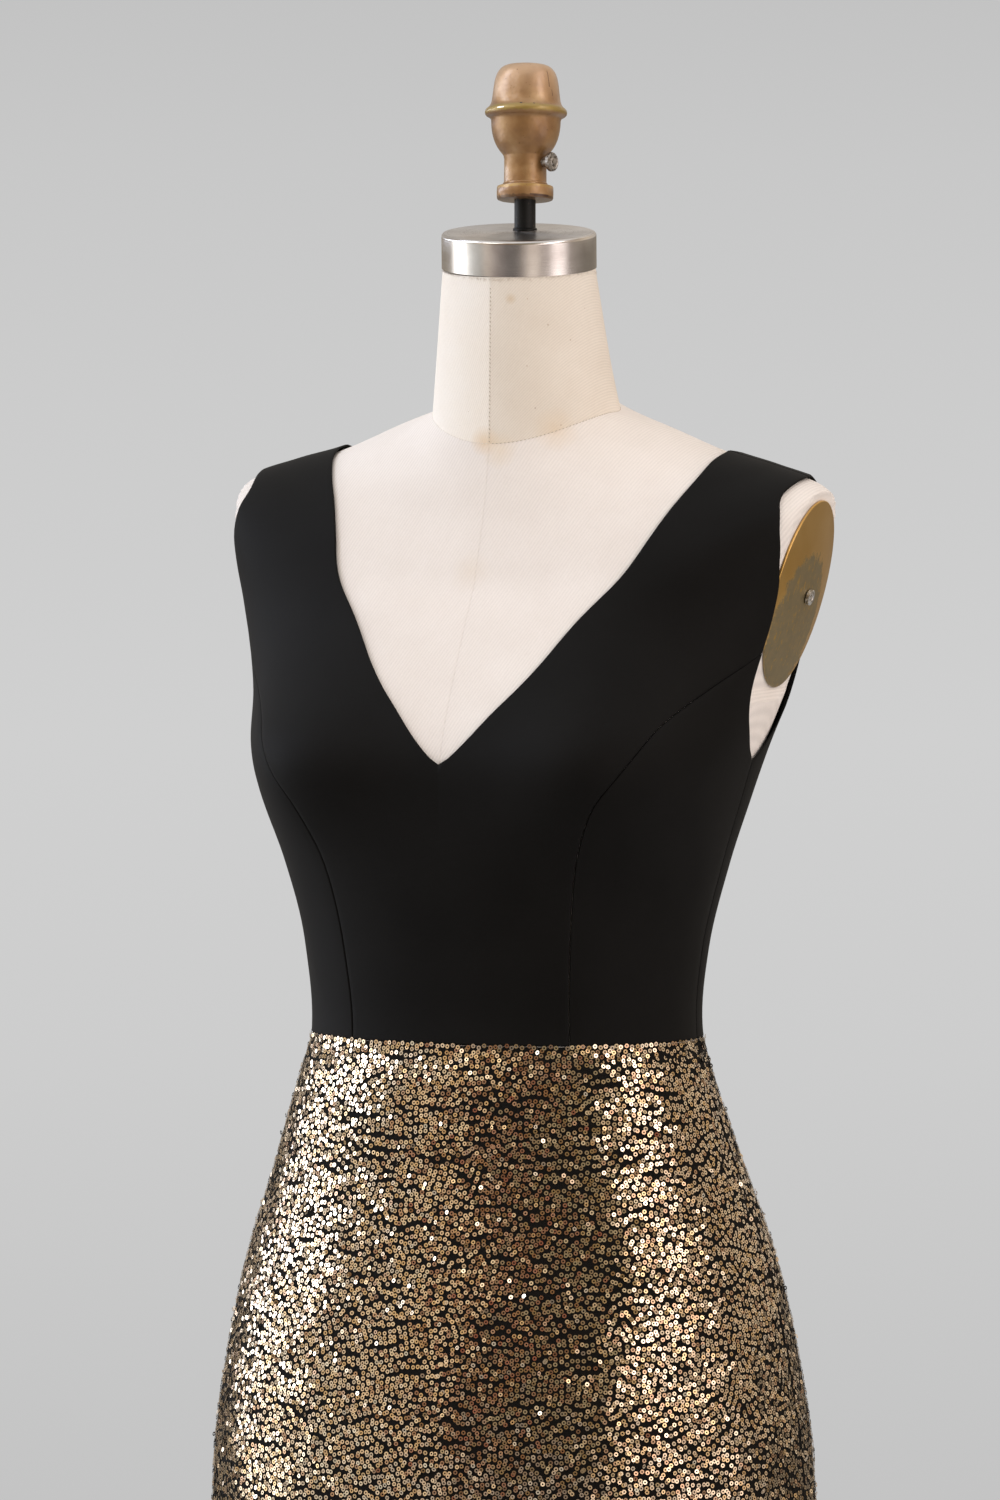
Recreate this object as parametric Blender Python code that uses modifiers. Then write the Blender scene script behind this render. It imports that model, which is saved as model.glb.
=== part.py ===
"""Sleeveless maxi dress on its limbless dress form.

The bodice is black crepe cut in seven panels with a deep V front and back.
The skirt is three sequined panels that fall from the waist seam to the floor.
Metres, +Z up. The dress faces -Y, so the wearer's left side is +X, and the
origin lies on the floor under the middle of the hem.
"""
import math

import bmesh
import bpy
from mathutils import Matrix, Vector

CM = 0.01
MM = 0.001

# ---- driving sizes ---------------------------------------------------------
CREPE = 1.0 * MM            # wall of a bodice panel
SEQUIN_CLOTH = 1.5 * MM     # wall of a skirt panel, mesh and sequins together
SEAM_GAP = 0.3 * MM         # between two panels, and between touching pieces
BODICE_LIFT = 1.6 * MM      # from the form's canvas to the inside of the bodice

WAIST_LEVEL = 4.0           # ring of the waist seam in BODY_RINGS
WAIST_Z = 1.075
BODICE_LEAN = 0.15 * MM     # how far each wall leans over the waist seam
SKIRT_LEAN = 0.45 * MM
HEM_Z = 0.025
POLE_Y = 0.013              # the pole and the neck rod stand on this line
POLE_RADIUS = 0.016
BASE_RADIUS = 0.175
FOOT_Z = 0.790              # flat underside of the dress form

# ---- the dress form: rings that tilt over the shoulders, in centimetres ----
# A ring passes through its side point, its front point and its back point.
# front_n and back_n round it: 2 is an ellipse, more is squarer.
RING_COLUMNS = ("side_x", "side_y", "side_z", "front_y", "front_z",
                "back_y", "back_z", "front_n", "back_n")
BODY_RINGS = {
    # name        side_x side_y  side_z front_y front_z back_y back_z front_n back_n
    "foot":       (17.0, -0.3,   79.0,  -12.7,  79.0,   12.3,  79.0,  2.30, 2.40),
    "hip":        (17.1, -0.4,   87.5,  -13.1,  87.5,   12.3,  87.5,  2.30, 2.40),
    "belly":      (15.3, -0.7,   95.0,  -12.3,  95.0,   10.8,  95.0,  2.20, 2.30),
    "high_hip":   (13.3, -1.1,  101.0,  -11.1, 101.0,    8.8, 101.0,  2.20, 2.20),
    "waist":      (12.0, -1.5,  107.5,  -10.3, 107.5,    7.1, 107.5,  2.15, 2.10),
    "ribs":       (12.3, -1.5,  113.0,  -11.0, 113.0,    7.7, 113.0,  2.20, 2.10),
    "under_bust": (13.4, -1.2,  118.0,  -12.0, 118.0,    8.8, 118.0,  2.25, 2.15),
    "low_bust":   (14.5, -1.0,  122.0,  -12.4, 122.0,    9.9, 122.0,  2.35, 2.30),
    "bust":       (15.4, -0.6,  125.5,  -12.3, 125.0,   10.9, 125.5,  2.40, 2.50),
    "underarm":   (16.3,  1.0,  128.8,  -10.9, 128.4,   11.4, 129.0,  2.30, 2.60),
    "plate_mid":  (18.0,  2.6,  133.9,   -8.7, 132.3,   11.4, 133.0,  2.20, 2.50),
    "plate_top":  (19.5,  2.9,  139.0,   -7.1, 134.8,   10.6, 137.5,  2.15, 2.40),
    "shoulder":   (18.6,  3.1,  140.9,   -6.4, 136.6,    9.8, 140.0,  2.00, 2.30),
    "strap_mid":  (15.6,  3.2,  142.0,   -5.6, 138.8,    8.8, 142.0,  1.85, 2.20),
    "strap_in":   (12.4,  3.3,  142.9,   -5.1, 140.6,    7.9, 143.7,  1.85, 2.10),
    "neck_side":  ( 8.5,  2.9,  144.5,   -4.7, 142.3,    7.2, 145.1,  1.90, 2.00),
    "neck_base":  ( 5.75, 1.8,  145.4,   -4.5, 143.6,    6.65, 146.9, 2.00, 2.00),
    "neck_low":   ( 5.3,  1.1,  148.6,   -4.4, 147.6,    6.0, 149.6,  2.00, 2.00),
    "neck_top":   ( 4.65, 0.35, 154.13,  -4.3, 153.68,   5.0, 154.58, 2.00, 2.00),
}
LEVELS = list(BODY_RINGS.values())
TOP_LEVEL = len(LEVELS) - 1
NECK_LEVEL = list(BODY_RINGS).index("neck_base")   # the canvas has a crease here
NECK_TILT = 0.0295          # the neck's top dips to the wearer's left, cm a cm

# The bust stands out from the front of the rings as two soft domes.
BUST = {"x": 9.2, "z": 124.4, "out": 1.75, "wide": 4.9, "above": 5.4, "below": 4.5}

# The arm openings are flat cuts that lean outwards, closed by brass plates.
ARM_CUT = {"low_x": 15.6, "low_z": 128.75, "lean": 0.27, "ledge": 0.8, "from_z": 126.0}

# Places where the bodice stands off the form: level, turn, their spreads, lift.
STAND_OFF = {
    # name             level  turn  level_spread turn_spread lift_cm
    "front_armhole": (10.2,  68.0, 1.3,         18.0,       0.10),
    "back_armhole":  (10.0, 116.0, 1.6,         22.0,       0.22),
    "bust":          (7.4,   42.0, 1.2,         20.0,       0.11),
}

# ---- seams and edges of the bodice, as level and turn from centre front ----
# level counts the rings above; turn is in degrees, 90 is the side, 180 the back.
NECKLINE_FRONT = ((7.85, 0.0), (8.7, 7.3), (9.6, 16.5), (10.8, 25.0), (12.1, 35.5),
                  (13.05, 52.0), (13.75, 70.0), (14.0, 89.8))
ARMHOLE_FRONT = ((9.5, 73.7), (10.2, 70.0), (10.65, 66.0), (11.2, 64.0), (11.95, 68.0),
                 (12.25, 78.0), (12.35, 89.8))
PRINCESS_FRONT = ((4.0, 34.0), (5.0, 33.9), (6.0, 33.4), (6.6, 34.0), (7.1, 35.6),
                  (7.6, 40.0), (8.1, 45.0), (8.6, 50.5), (9.1, 60.5), (9.5, 73.7))
SIDE_SEAM = ((4.0, 92.0), (6.0, 92.0), (7.7, 92.0))
PRINCESS_BACK = ((4.0, 147.0), (5.5, 146.5), (7.0, 145.0), (8.3, 141.0), (9.4, 133.0),
                 (10.3, 123.5))
ARMHOLE_BACK = ((10.3, 123.5), (11.2, 123.0), (11.9, 117.0), (12.35, 105.0), (12.35, 90.2))
UNDERARM_FRONT = ((9.5, 73.7), (9.1, 76.0), (8.7, 80.0), (8.2, 86.5), (7.7, 92.0))
UNDERARM_BACK = ((7.7, 92.0), (7.95, 98.0), (8.4, 106.0), (9.0, 114.0), (9.6, 120.0),
                 (10.3, 123.5))
NECKLINE_BACK = ((9.3, 180.0), (10.4, 165.0), (11.5, 152.0), (12.5, 139.0), (13.3, 122.0),
                 (13.8, 105.0), (14.0, 90.2))

# ---- the skirt: level rings from the waist seam to the hem, in centimetres --
# depth_ratio is the half depth over the half width.
SKIRT_COLUMNS = ("z", "half_width", "centre_y", "depth_ratio")
SKIRT_RINGS = (
    # z      half_width centre_y depth_ratio
    (107.45, 12.35,     -1.55,   0.730),
    (105.5,  12.90,     -1.65,   0.735),
    (102.5,  13.85,     -1.50,   0.740),
    (99.0,   14.95,     -1.15,   0.750),
    (95.0,   16.30,     -0.90,   0.760),
    (91.0,   17.30,     -0.78,   0.778),
    (87.0,   18.05,     -0.72,   0.788),
    (83.0,   18.65,     -0.65,   0.790),
    (79.0,   18.90,     -0.60,   0.790),
    (74.0,   19.15,     -0.55,   0.800),
    (60.0,   19.95,     -0.40,   0.830),
    (40.0,   21.20,     -0.20,   0.860),
    (20.0,   22.40,     -0.05,   0.885),
    (2.5,    23.40,      0.00,   0.900),
)
SKIRT_SQUARENESS = 2.1

# Soft flutes that open towards the hem: turn, depth at the hem, half width, top.
FLUTES = (
    # turn    out_cm  half_turn top_z
    (-27.0,  1.30,   11.0,     66.0),
    (31.0,   1.05,   12.0,     58.0),
    (-62.0,  0.90,   10.0,     52.0),
    (65.0,   1.15,   10.5,     70.0),
    (114.0,  0.95,   11.0,     56.0),
    (-117.0, 1.20,   12.0,     64.0),
    (150.0,  1.25,   11.5,     68.0),
    (-153.0, 1.00,   10.5,     60.0),
)


# ---- scene and materials ---------------------------------------------------
def clear_scene():
    for item in list(bpy.data.objects):
        bpy.data.objects.remove(item, do_unlink=True)


def make_collection(name):
    collection = bpy.data.collections.new(name)
    bpy.context.scene.collection.children.link(collection)
    return collection


def make_material(name, colour, roughness, metallic=0.0):
    material = bpy.data.materials.new(name)
    material.use_nodes = True
    shader = material.node_tree.nodes["Principled BSDF"]
    shader.inputs["Base Color"].default_value = (*colour, 1.0)
    shader.inputs["Roughness"].default_value = roughness
    shader.inputs["Metallic"].default_value = metallic
    return material


clear_scene()
PARTS = make_collection("sequin_maxi_dress")
CUTTERS = make_collection("cutters")

BLACK_CREPE = make_material("black_crepe", (0.012, 0.012, 0.012), 0.75)
GOLD_SEQUINS = make_material("gold_sequins", (0.55, 0.38, 0.22), 0.25, 0.8)
CANVAS = make_material("canvas", (0.83, 0.75, 0.64), 0.85)
BRUSHED_STEEL = make_material("brushed_steel", (0.62, 0.60, 0.58), 0.3, 1.0)
BRONZE_PAINT = make_material("bronze_paint", (0.42, 0.24, 0.12), 0.4, 0.6)
AGED_BRASS = make_material("aged_brass", (0.40, 0.30, 0.13), 0.35, 1.0)
BLACK_STEEL = make_material("black_steel", (0.03, 0.03, 0.03), 0.4, 0.6)


# ---- curves through a few named rows ---------------------------------------
def catmull_rom(rows, position):
    """A smooth curve through rows of equal length, read at a row position."""
    last = len(rows) - 1
    position = min(max(position, 0.0), float(last))
    i = min(int(position), last - 1)
    f = position - i
    before = rows[max(i - 1, 0)]
    after = rows[min(i + 2, last)]
    return [0.5 * (2 * q + (r - p) * f + (2 * p - 5 * q + 4 * r - s) * f * f
                   + (3 * q - p - 3 * r + s) * f ** 3)
            for p, q, r, s in zip(before, rows[i], rows[i + 1], after)]


def sample_edge(rows, count):
    """count + 1 points (level, turn) spread evenly along an edge."""
    steps = 12 * (len(rows) - 1)
    fine = [catmull_rom(rows, k / 12) for k in range(steps + 1)]
    run = [0.0]
    for a, b in zip(fine, fine[1:]):
        run.append(run[-1] + (body_point(*b) - body_point(*a)).length)
    points = []
    j = 0
    for k in range(count + 1):
        wanted = run[-1] * k / count
        while j < steps - 1 and run[j + 1] < wanted:
            j += 1
        f = (wanted - run[j]) / (run[j + 1] - run[j])
        points.append([a + (b - a) * f for a, b in zip(fine[j], fine[j + 1])])
    return points


# ---- the body surface ------------------------------------------------------
def ring_at(level):
    """The torso's ring at a level, with a crease where the neck is sewn on."""
    if level <= NECK_LEVEL:
        return dict(zip(RING_COLUMNS, catmull_rom(LEVELS[:NECK_LEVEL + 1], level)))
    return dict(zip(RING_COLUMNS, catmull_rom(LEVELS[NECK_LEVEL:], level - NECK_LEVEL)))


def signed_power(value, exponent):
    return math.copysign(abs(value) ** exponent, value)


def body_point(level, turn):
    """A point on the form's surface, in metres."""
    ring = ring_at(level)
    sine = math.sin(math.radians(turn))
    cosine = math.cos(math.radians(turn))
    half = "front" if cosine > 0 else "back"
    power = 2 / ring[half + "_n"]
    x = ring["side_x"] * signed_power(sine, power)
    y = ring["side_y"] + (ring[half + "_y"] - ring["side_y"]) * abs(cosine) ** power
    z = ring["side_z"] + (ring[half + "_z"] - ring["side_z"]) * cosine ** 2
    z -= NECK_TILT * x * min(max(level - (TOP_LEVEL - 1), 0.0), 1.0)
    spread = BUST["above"] if z > BUST["z"] else BUST["below"]
    dome = math.exp(-((abs(x) - BUST["x"]) / BUST["wide"]) ** 2
                    - ((z - BUST["z"]) / spread) ** 2)
    dome *= BUST["out"] * min(max(3 * cosine, 0.0), 1.0)
    return Vector((x + 0.35 * math.copysign(dome, x), y - dome, z)) * CM


def body_normal(level, turn):
    along = body_point(level + 0.02, turn) - body_point(level - 0.02, turn)
    around = body_point(level, turn + 1) - body_point(level, turn - 1)
    return around.cross(along).normalized()


def stand_off(level, turn):
    """How far the bodice stands off the form at this place."""
    lift = 0.0
    for at_level, at_turn, level_spread, turn_spread, most in STAND_OFF.values():
        lift += most * CM * math.exp(-((level - at_level) / level_spread) ** 2
                                     - ((abs(turn) - at_turn) / turn_spread) ** 2)
    return lift


def bodice_point(level, turn):
    lift = BODICE_LIFT + stand_off(level, turn)
    return body_point(level, turn) + body_normal(level, turn) * lift


def arm_cut_x(z):
    """Half width of the flat arm cut at height z, all in centimetres."""
    rise = z - ARM_CUT["low_z"]
    slope = ARM_CUT["lean"] if rise > 0 else -ARM_CUT["ledge"]
    return ARM_CUT["low_x"] + slope * rise


def form_point(level, turn):
    """The form's own surface, with the arm openings cut flat."""
    point = body_point(level, turn)
    if point.z > ARM_CUT["from_z"] * CM:
        limit = arm_cut_x(point.z / CM) * CM
        point.x = math.copysign(min(abs(point.x), limit), point.x)
    return point


# ---- mesh helpers ----------------------------------------------------------
def add_object(name, mesh, material, collection=None):
    thing = bpy.data.objects.new(name, mesh)
    (collection or PARTS).objects.link(thing)
    thing.data.materials.append(material)
    return thing


def smooth(thing, angle=40):
    thing.data.shade_smooth()
    thing.data.set_sharp_from_angle(angle=math.radians(angle))


def loft(name, rows, closed_round=False, caps=False):
    """A mesh through rows of points, each row the same length."""
    shape = bmesh.new()
    grid = [[shape.verts.new(point) for point in row] for row in rows]
    for low, high in zip(grid, grid[1:]):
        count = len(low) if closed_round else len(low) - 1
        for j in range(count):
            k = (j + 1) % len(low)
            shape.faces.new((low[j], low[k], high[k], high[j]))
    if caps:
        shape.faces.new(list(reversed(grid[0])))
        shape.faces.new(grid[-1])
    mesh = bpy.data.meshes.new(name)
    shape.to_mesh(mesh)
    shape.free()
    return mesh


def add_wall(thing, thickness):
    """Solidify outwards from the inner face."""
    wall = thing.modifiers.new("wall", "SOLIDIFY")
    wall.thickness = thickness
    wall.offset = 1.0
    return wall


def turned(name, profile, material, steps=32):
    """A profile of (radius, z) from the top down its outer side, spun round Z."""
    mesh = bpy.data.meshes.new(name)
    points = [(radius, 0.0, z) for radius, z in profile]
    mesh.from_pydata(points, [(i, i + 1) for i in range(len(points) - 1)], [])
    thing = add_object(name, mesh, material)
    spin = thing.modifiers.new("turned", "SCREW")
    spin.steps = steps
    spin.render_steps = steps
    spin.use_merge_vertices = True
    spin.merge_threshold = 0.00001
    return thing


def arc(centre_radius, centre_z, radius, start, end, count=4):
    """Profile points on an arc, with angles in degrees from the outward line."""
    points = []
    for k in range(count + 1):
        angle = math.radians(start + (end - start) * k / count)
        points.append((centre_radius + radius * math.cos(angle),
                       centre_z + radius * math.sin(angle)))
    return points


def cutter_cylinder(name, radius, depth, matrix, vertices=24):
    bpy.ops.mesh.primitive_cylinder_add(vertices=vertices, radius=radius, depth=depth)
    cutter = bpy.context.object
    cutter.name = name
    cutter.matrix_world = matrix
    for owner in cutter.users_collection:
        owner.objects.unlink(cutter)
    CUTTERS.objects.link(cutter)
    cutter.hide_render = True
    cutter.display_type = "WIRE"
    return cutter


def cut(thing, cutter, operation="DIFFERENCE"):
    step = thing.modifiers.new(cutter.name, "BOOLEAN")
    step.operation = operation
    step.object = cutter
    step.solver = "EXACT"


# ---- cloth panels ----------------------------------------------------------
def between(first, last, count):
    """Points spread from one (level, turn) to another."""
    return [[a + (b - a) * k / count for a, b in zip(first, last)] for k in range(count + 1)]


def pull_in(point, neighbour, along):
    """Moves an edge point half a seam gap into its own panel."""
    inwards = neighbour - point
    inwards -= along * inwards.dot(along)
    return point + inwards.normalized() * SEAM_GAP / 2


def trim_seams(rows):
    """Opens half a seam gap along both long edges of a grid of points."""
    trimmed = [list(row) for row in rows]
    for i, row in enumerate(rows):
        below = rows[max(i - 1, 0)]
        above = rows[min(i + 1, len(rows) - 1)]
        for edge, inner in ((0, 1), (-1, -2)):
            along = (above[edge] - below[edge]).normalized()
            trimmed[i][edge] = pull_in(row[edge], row[inner], along)
    return trimmed


def panel_rows(inner_edge, outer_edge, columns, side, top_edge=None):
    """Points of a panel between two edges; side is +1 for the wearer's left.

    top_edge bends the upper rows, the last of them all the way, to a curve.
    """
    rows = []
    last = len(inner_edge) - 1
    straight_top = between(inner_edge[-1], outer_edge[-1], columns)
    curved_top = sample_edge(top_edge, columns) if top_edge else straight_top
    for i, (inner, outer) in enumerate(zip(inner_edge, outer_edge)):
        bend = (i / last) ** 3
        places = []
        for place, flat, curved in zip(between(inner, outer, columns), straight_top, curved_top):
            places.append([a + (c - b) * bend for a, b, c in zip(place, flat, curved)])
        row = [bodice_point(*place) for place in places]
        rows.append([Vector((side * p.x, p.y, p.z)) for p in row])
    for point in rows[0]:
        point.z = WAIST_Z + SEAM_GAP / 2 + BODICE_LEAN
    return rows


def cloth_panel(name, rows, thickness, material):
    """A panel whose rows run upwards, with its face turned away from the body."""
    thing = add_object(name, loft(name, rows), material)
    shape = bmesh.new()
    shape.from_mesh(thing.data)
    shape.faces.ensure_lookup_table()
    middle = shape.faces[len(shape.faces) // 2]
    centre = middle.calc_center_median()
    if middle.normal.dot(Vector((centre.x, centre.y, 0.0))) < 0:
        bmesh.ops.reverse_faces(shape, faces=shape.faces)
    shape.to_mesh(thing.data)
    shape.free()
    add_wall(thing, thickness)
    smooth(thing, 60)
    return thing


ROWS_TO_V = 11              # rows from the waist up to the point of the V
ROWS_TO_ARMHOLE = 14        # rows from the waist up to the armhole, front
ROWS_FRONT = 25             # rows from the waist up to the shoulder, front
ROWS_BACK_ARMHOLE = 11      # the same two, for the back
ROWS_BACK = 21


def build_centre_front():
    """One piece from princess seam to princess seam, both straps included."""
    centre = between((WAIST_LEVEL, 0.0), NECKLINE_FRONT[0], ROWS_TO_V)
    inner = centre[:-1] + sample_edge(NECKLINE_FRONT, ROWS_FRONT - ROWS_TO_V)
    outer = sample_edge(PRINCESS_FRONT, ROWS_TO_ARMHOLE)[:-1]
    outer += sample_edge(ARMHOLE_FRONT, ROWS_FRONT - ROWS_TO_ARMHOLE)
    left = trim_seams(panel_rows(inner, outer, 8, 1))
    for row in left[:ROWS_TO_V + 1]:
        row[0].x = 0.0
    thing = cloth_panel("bodice_centre_front", left, CREPE, BLACK_CREPE)
    thing.modifiers.remove(thing.modifiers["wall"])
    mirror = thing.modifiers.new("both_sides", "MIRROR")
    mirror.merge_threshold = 0.00005
    add_wall(thing, CREPE)


def build_side_front(name, side):
    inner = sample_edge(PRINCESS_FRONT, ROWS_TO_ARMHOLE)
    outer = sample_edge(SIDE_SEAM, ROWS_TO_ARMHOLE)
    rows = panel_rows(inner, outer, 5, side, UNDERARM_FRONT)
    cloth_panel(name, trim_seams(rows), CREPE, BLACK_CREPE)


def build_side_back(name, side):
    inner = sample_edge(SIDE_SEAM, ROWS_TO_ARMHOLE)
    outer = sample_edge(PRINCESS_BACK, ROWS_BACK_ARMHOLE)
    rows = panel_rows(inner, outer, 6, side, UNDERARM_BACK)
    cloth_panel(name, trim_seams(rows), CREPE, BLACK_CREPE)


def build_centre_back(name, side):
    inner = sample_edge(PRINCESS_BACK, ROWS_BACK_ARMHOLE)[:-1]
    inner += sample_edge(ARMHOLE_BACK, ROWS_BACK - ROWS_BACK_ARMHOLE)
    centre = between((WAIST_LEVEL, 180.0), NECKLINE_BACK[0], ROWS_BACK_ARMHOLE)
    outer = centre[:-1] + sample_edge(NECKLINE_BACK, ROWS_BACK - ROWS_BACK_ARMHOLE)
    cloth_panel(name, trim_seams(panel_rows(inner, outer, 6, side)), CREPE, BLACK_CREPE)


def skirt_ring(z):
    """The skirt's section at height z (centimetres), read from SKIRT_RINGS."""
    heights = [row[0] for row in SKIRT_RINGS]
    i = 0
    while i < len(heights) - 2 and z < heights[i + 1]:
        i += 1
    f = (heights[i] - z) / (heights[i] - heights[i + 1])
    return dict(zip(SKIRT_COLUMNS, catmull_rom(SKIRT_RINGS, i + f)))


def skirt_point(z, turn):
    """A point on the inside of the skirt, in metres; z in centimetres."""
    ring = skirt_ring(z)
    half_width = ring["half_width"] - SEQUIN_CLOTH / CM
    sine = math.sin(math.radians(turn))
    cosine = math.cos(math.radians(turn))
    power = 2 / SKIRT_SQUARENESS
    x = half_width * signed_power(sine, power)
    y = ring["centre_y"] - half_width * ring["depth_ratio"] * signed_power(cosine, power)
    out = 0.0
    for at_turn, most, half_turn, top_z in FLUTES:
        away = (turn - at_turn + 180) % 360 - 180
        open_up = min(max((top_z - z) / (top_z - HEM_Z / CM), 0.0), 1.0)
        out += most * open_up ** 1.6 * math.exp(-(away / half_turn) ** 2)
    return Vector((x + out * sine, y - out * cosine, z)) * CM


SKIRT_ROWS = 18
SKIRT_SEAM_TURN = 92.0


def skirt_heights():
    """Rows close together over the hips and further apart to the hem."""
    top = WAIST_Z - SEAM_GAP / 2 - SKIRT_LEAN
    fall = top - HEM_Z
    return [(top - fall * (k / SKIRT_ROWS) ** 1.15) / CM for k in range(SKIRT_ROWS + 1)]


def build_skirt_panel(name, first_turn, last_turn, columns):
    rows = []
    for z in reversed(skirt_heights()):
        turns = [first_turn + (last_turn - first_turn) * k / columns
                 for k in range(columns + 1)]
        rows.append([skirt_point(z, turn) for turn in turns])
    cloth_panel(name, trim_seams(rows), SEQUIN_CLOTH, GOLD_SEQUINS)


# ---- the dress form and its stand ------------------------------------------
FORM_AROUND = 36
FORM_ROWS = 36              # two to each level, so one lies on the neck seam


def build_form():
    """The canvas torso, whole from the flat foot to the top of the neck."""
    rows = []
    for i in range(FORM_ROWS + 1):
        level = TOP_LEVEL * i / FORM_ROWS
        rows.append([form_point(level, 360 * j / FORM_AROUND) for j in range(FORM_AROUND)])
    front, back = rows[-1][0], rows[-1][FORM_AROUND // 2]
    for point in rows[-1]:      # the neck ends in one flat face, tilted to the front
        point.z = front.z + (back.z - front.z) * (point.y - front.y) / (back.y - front.y)
        point.z -= NECK_TILT * point.x
    thing = add_object("form_torso", loft("form_torso", rows, True, True), CANVAS)
    smooth(thing, 35)


CAP_RADIUS = 0.0472
CAP_HEIGHT = 0.0216
CAP_EDGE = 0.0022


def cap_matrix():
    """The neck cap's frame: on the neck's top, tilted with it."""
    front = body_point(TOP_LEVEL, 0)
    back = body_point(TOP_LEVEL, 180)
    left = body_point(TOP_LEVEL, 90)
    right = body_point(TOP_LEVEL, -90)
    up = (left - right).cross(back - front).normalized()
    centre = (front + back) / 2 + up * SEAM_GAP
    return Matrix.Translation(centre) @ up.to_track_quat("Z", "Y").to_matrix().to_4x4()


ROD_RADIUS = 0.0065
ROD_FOOT_Z = 1.552
ROD_TOP_Z = 1.612
KNOB_FOOT_Z = 1.5822
KNOB_LEAN_BACK = math.radians(8.0)
KNOB_LEAN_SIDE = math.radians(2.5)


def rod_matrix():
    return Matrix.Translation((0.0, POLE_Y, (ROD_FOOT_Z + ROD_TOP_Z) / 2))


def build_neck_cap():
    profile = [(0.0, CAP_HEIGHT)]
    profile += arc(CAP_RADIUS - CAP_EDGE, CAP_HEIGHT - CAP_EDGE, CAP_EDGE, 90, 0, 4)
    profile += [(CAP_RADIUS, 0.0), (0.0, 0.0)]
    cap = turned("neck_cap", profile, BRUSHED_STEEL, 36)
    cap.matrix_world = cap_matrix()
    smooth(cap)
    bore = cutter_cylinder("cap_bore", ROD_RADIUS + SEAM_GAP,
                           ROD_TOP_Z - ROD_FOOT_Z + 2 * SEAM_GAP, rod_matrix())
    cut(cap, bore)


def build_neck_rod():
    bpy.ops.mesh.primitive_cylinder_add(vertices=24, radius=ROD_RADIUS,
                                        depth=ROD_TOP_Z - ROD_FOOT_Z)
    rod = bpy.context.object
    rod.name = "neck_rod"
    rod.matrix_world = rod_matrix()
    for owner in rod.users_collection:
        owner.objects.unlink(rod)
    PARTS.objects.link(rod)
    rod.data.materials.append(BLACK_STEEL)
    smooth(rod)


# The knob's turned outline, from the top down, in millimetres.
KNOB_PROFILE = (
    # radius, height above its foot
    (0.0, 83.5), (9.6, 83.4), (14.0, 82.0), (17.2, 79.0), (19.0, 74.5), (20.0, 69.0),
    (20.8, 62.0), (21.6, 58.5), (24.2, 56.2), (25.1, 53.8), (24.2, 51.6), (22.0, 50.5),
    (21.2, 48.5), (20.8, 43.0), (19.4, 37.0), (17.0, 32.0), (14.4, 28.6), (13.1, 26.5),
    (13.0, 10.6), (13.6, 9.9), (13.4, 9.0), (16.2, 8.8), (17.2, 7.8), (17.2, 1.4),
    (15.8, 0.0), (0.0, 0.0),
)
SCREW_HEIGHT = 0.0225       # above the knob's foot
SCREW_AZIMUTH = math.radians(78.0)
SCREW_RADIUS = 0.0025
SCREW_PROFILE = (
    # radius, distance from the knob's axis, in millimetres
    (0.0, 20.6), (4.9, 20.6), (5.9, 19.9), (5.9, 18.1), (5.2, 17.5), (3.1, 17.2),
    (3.1, 14.0), (2.5, 13.8), (2.5, 8.8), (0.0, 8.8),
)


def knob_matrix():
    """The knob's frame: its foot on the rod's line, leaning back a little."""
    lean = Matrix.Rotation(-KNOB_LEAN_BACK, 4, "X") @ Matrix.Rotation(-KNOB_LEAN_SIDE, 4, "Y")
    return Matrix.Translation((0.0, POLE_Y, KNOB_FOOT_Z)) @ lean


def screw_matrix():
    """The thumbscrew's frame: its axis is local Z and points out of the knob."""
    direction = Vector((math.sin(SCREW_AZIMUTH), -math.cos(SCREW_AZIMUTH), 0.0))
    turn = direction.to_track_quat("Z", "X").to_matrix().to_4x4()
    return knob_matrix() @ Matrix.Translation((0.0, 0.0, SCREW_HEIGHT)) @ turn


def build_knob():
    profile = [(radius * MM, z * MM) for radius, z in KNOB_PROFILE]
    knob = turned("knob", profile, BRONZE_PAINT, 24)
    knob.matrix_world = knob_matrix()
    smooth(knob, 30)
    bore = cutter_cylinder("knob_bore", ROD_RADIUS + SEAM_GAP, ROD_TOP_Z - ROD_FOOT_Z,
                           Matrix.Translation((0, 0, SEAM_GAP)) @ rod_matrix())
    cut(knob, bore)
    hole_length = 0.016
    hole = cutter_cylinder("screw_hole", SCREW_RADIUS + SEAM_GAP, hole_length,
                           screw_matrix() @ Matrix.Translation((0, 0, hole_length / 2)), 16)
    cut(knob, hole)


def build_thumbscrew():
    profile = [(radius * MM, z * MM) for radius, z in SCREW_PROFILE]
    screw = turned("thumbscrew", profile, BRUSHED_STEEL, 18)
    screw.matrix_world = screw_matrix()
    smooth(screw, 30)


PLATE_HALF_HEIGHT = 0.0590
PLATE_HALF_WIDTH = 0.0435
PLATE_CENTRE = (2.85, 134.5)    # y and z, in centimetres
PLATE_DOME = 0.0055
PLATE_RIM = 0.0014
NUT_RADIUS = 0.0048
NUT_HEIGHT = 0.0026


def plate_matrix(side):
    """Local Z points out of the arm cut, local Y runs up it."""
    lean = math.atan(ARM_CUT["lean"])
    outward = Vector((side * math.cos(lean), 0.0, -math.sin(lean)))
    upward = Vector((side * math.sin(lean), 0.0, math.cos(lean)))
    across = upward.cross(outward)
    turn = Matrix((across, upward, outward)).transposed().to_4x4()
    y, z = PLATE_CENTRE
    place = Vector((side * arm_cut_x(z), y, z)) * CM
    return Matrix.Translation(place + outward * SEAM_GAP) @ turn


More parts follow.
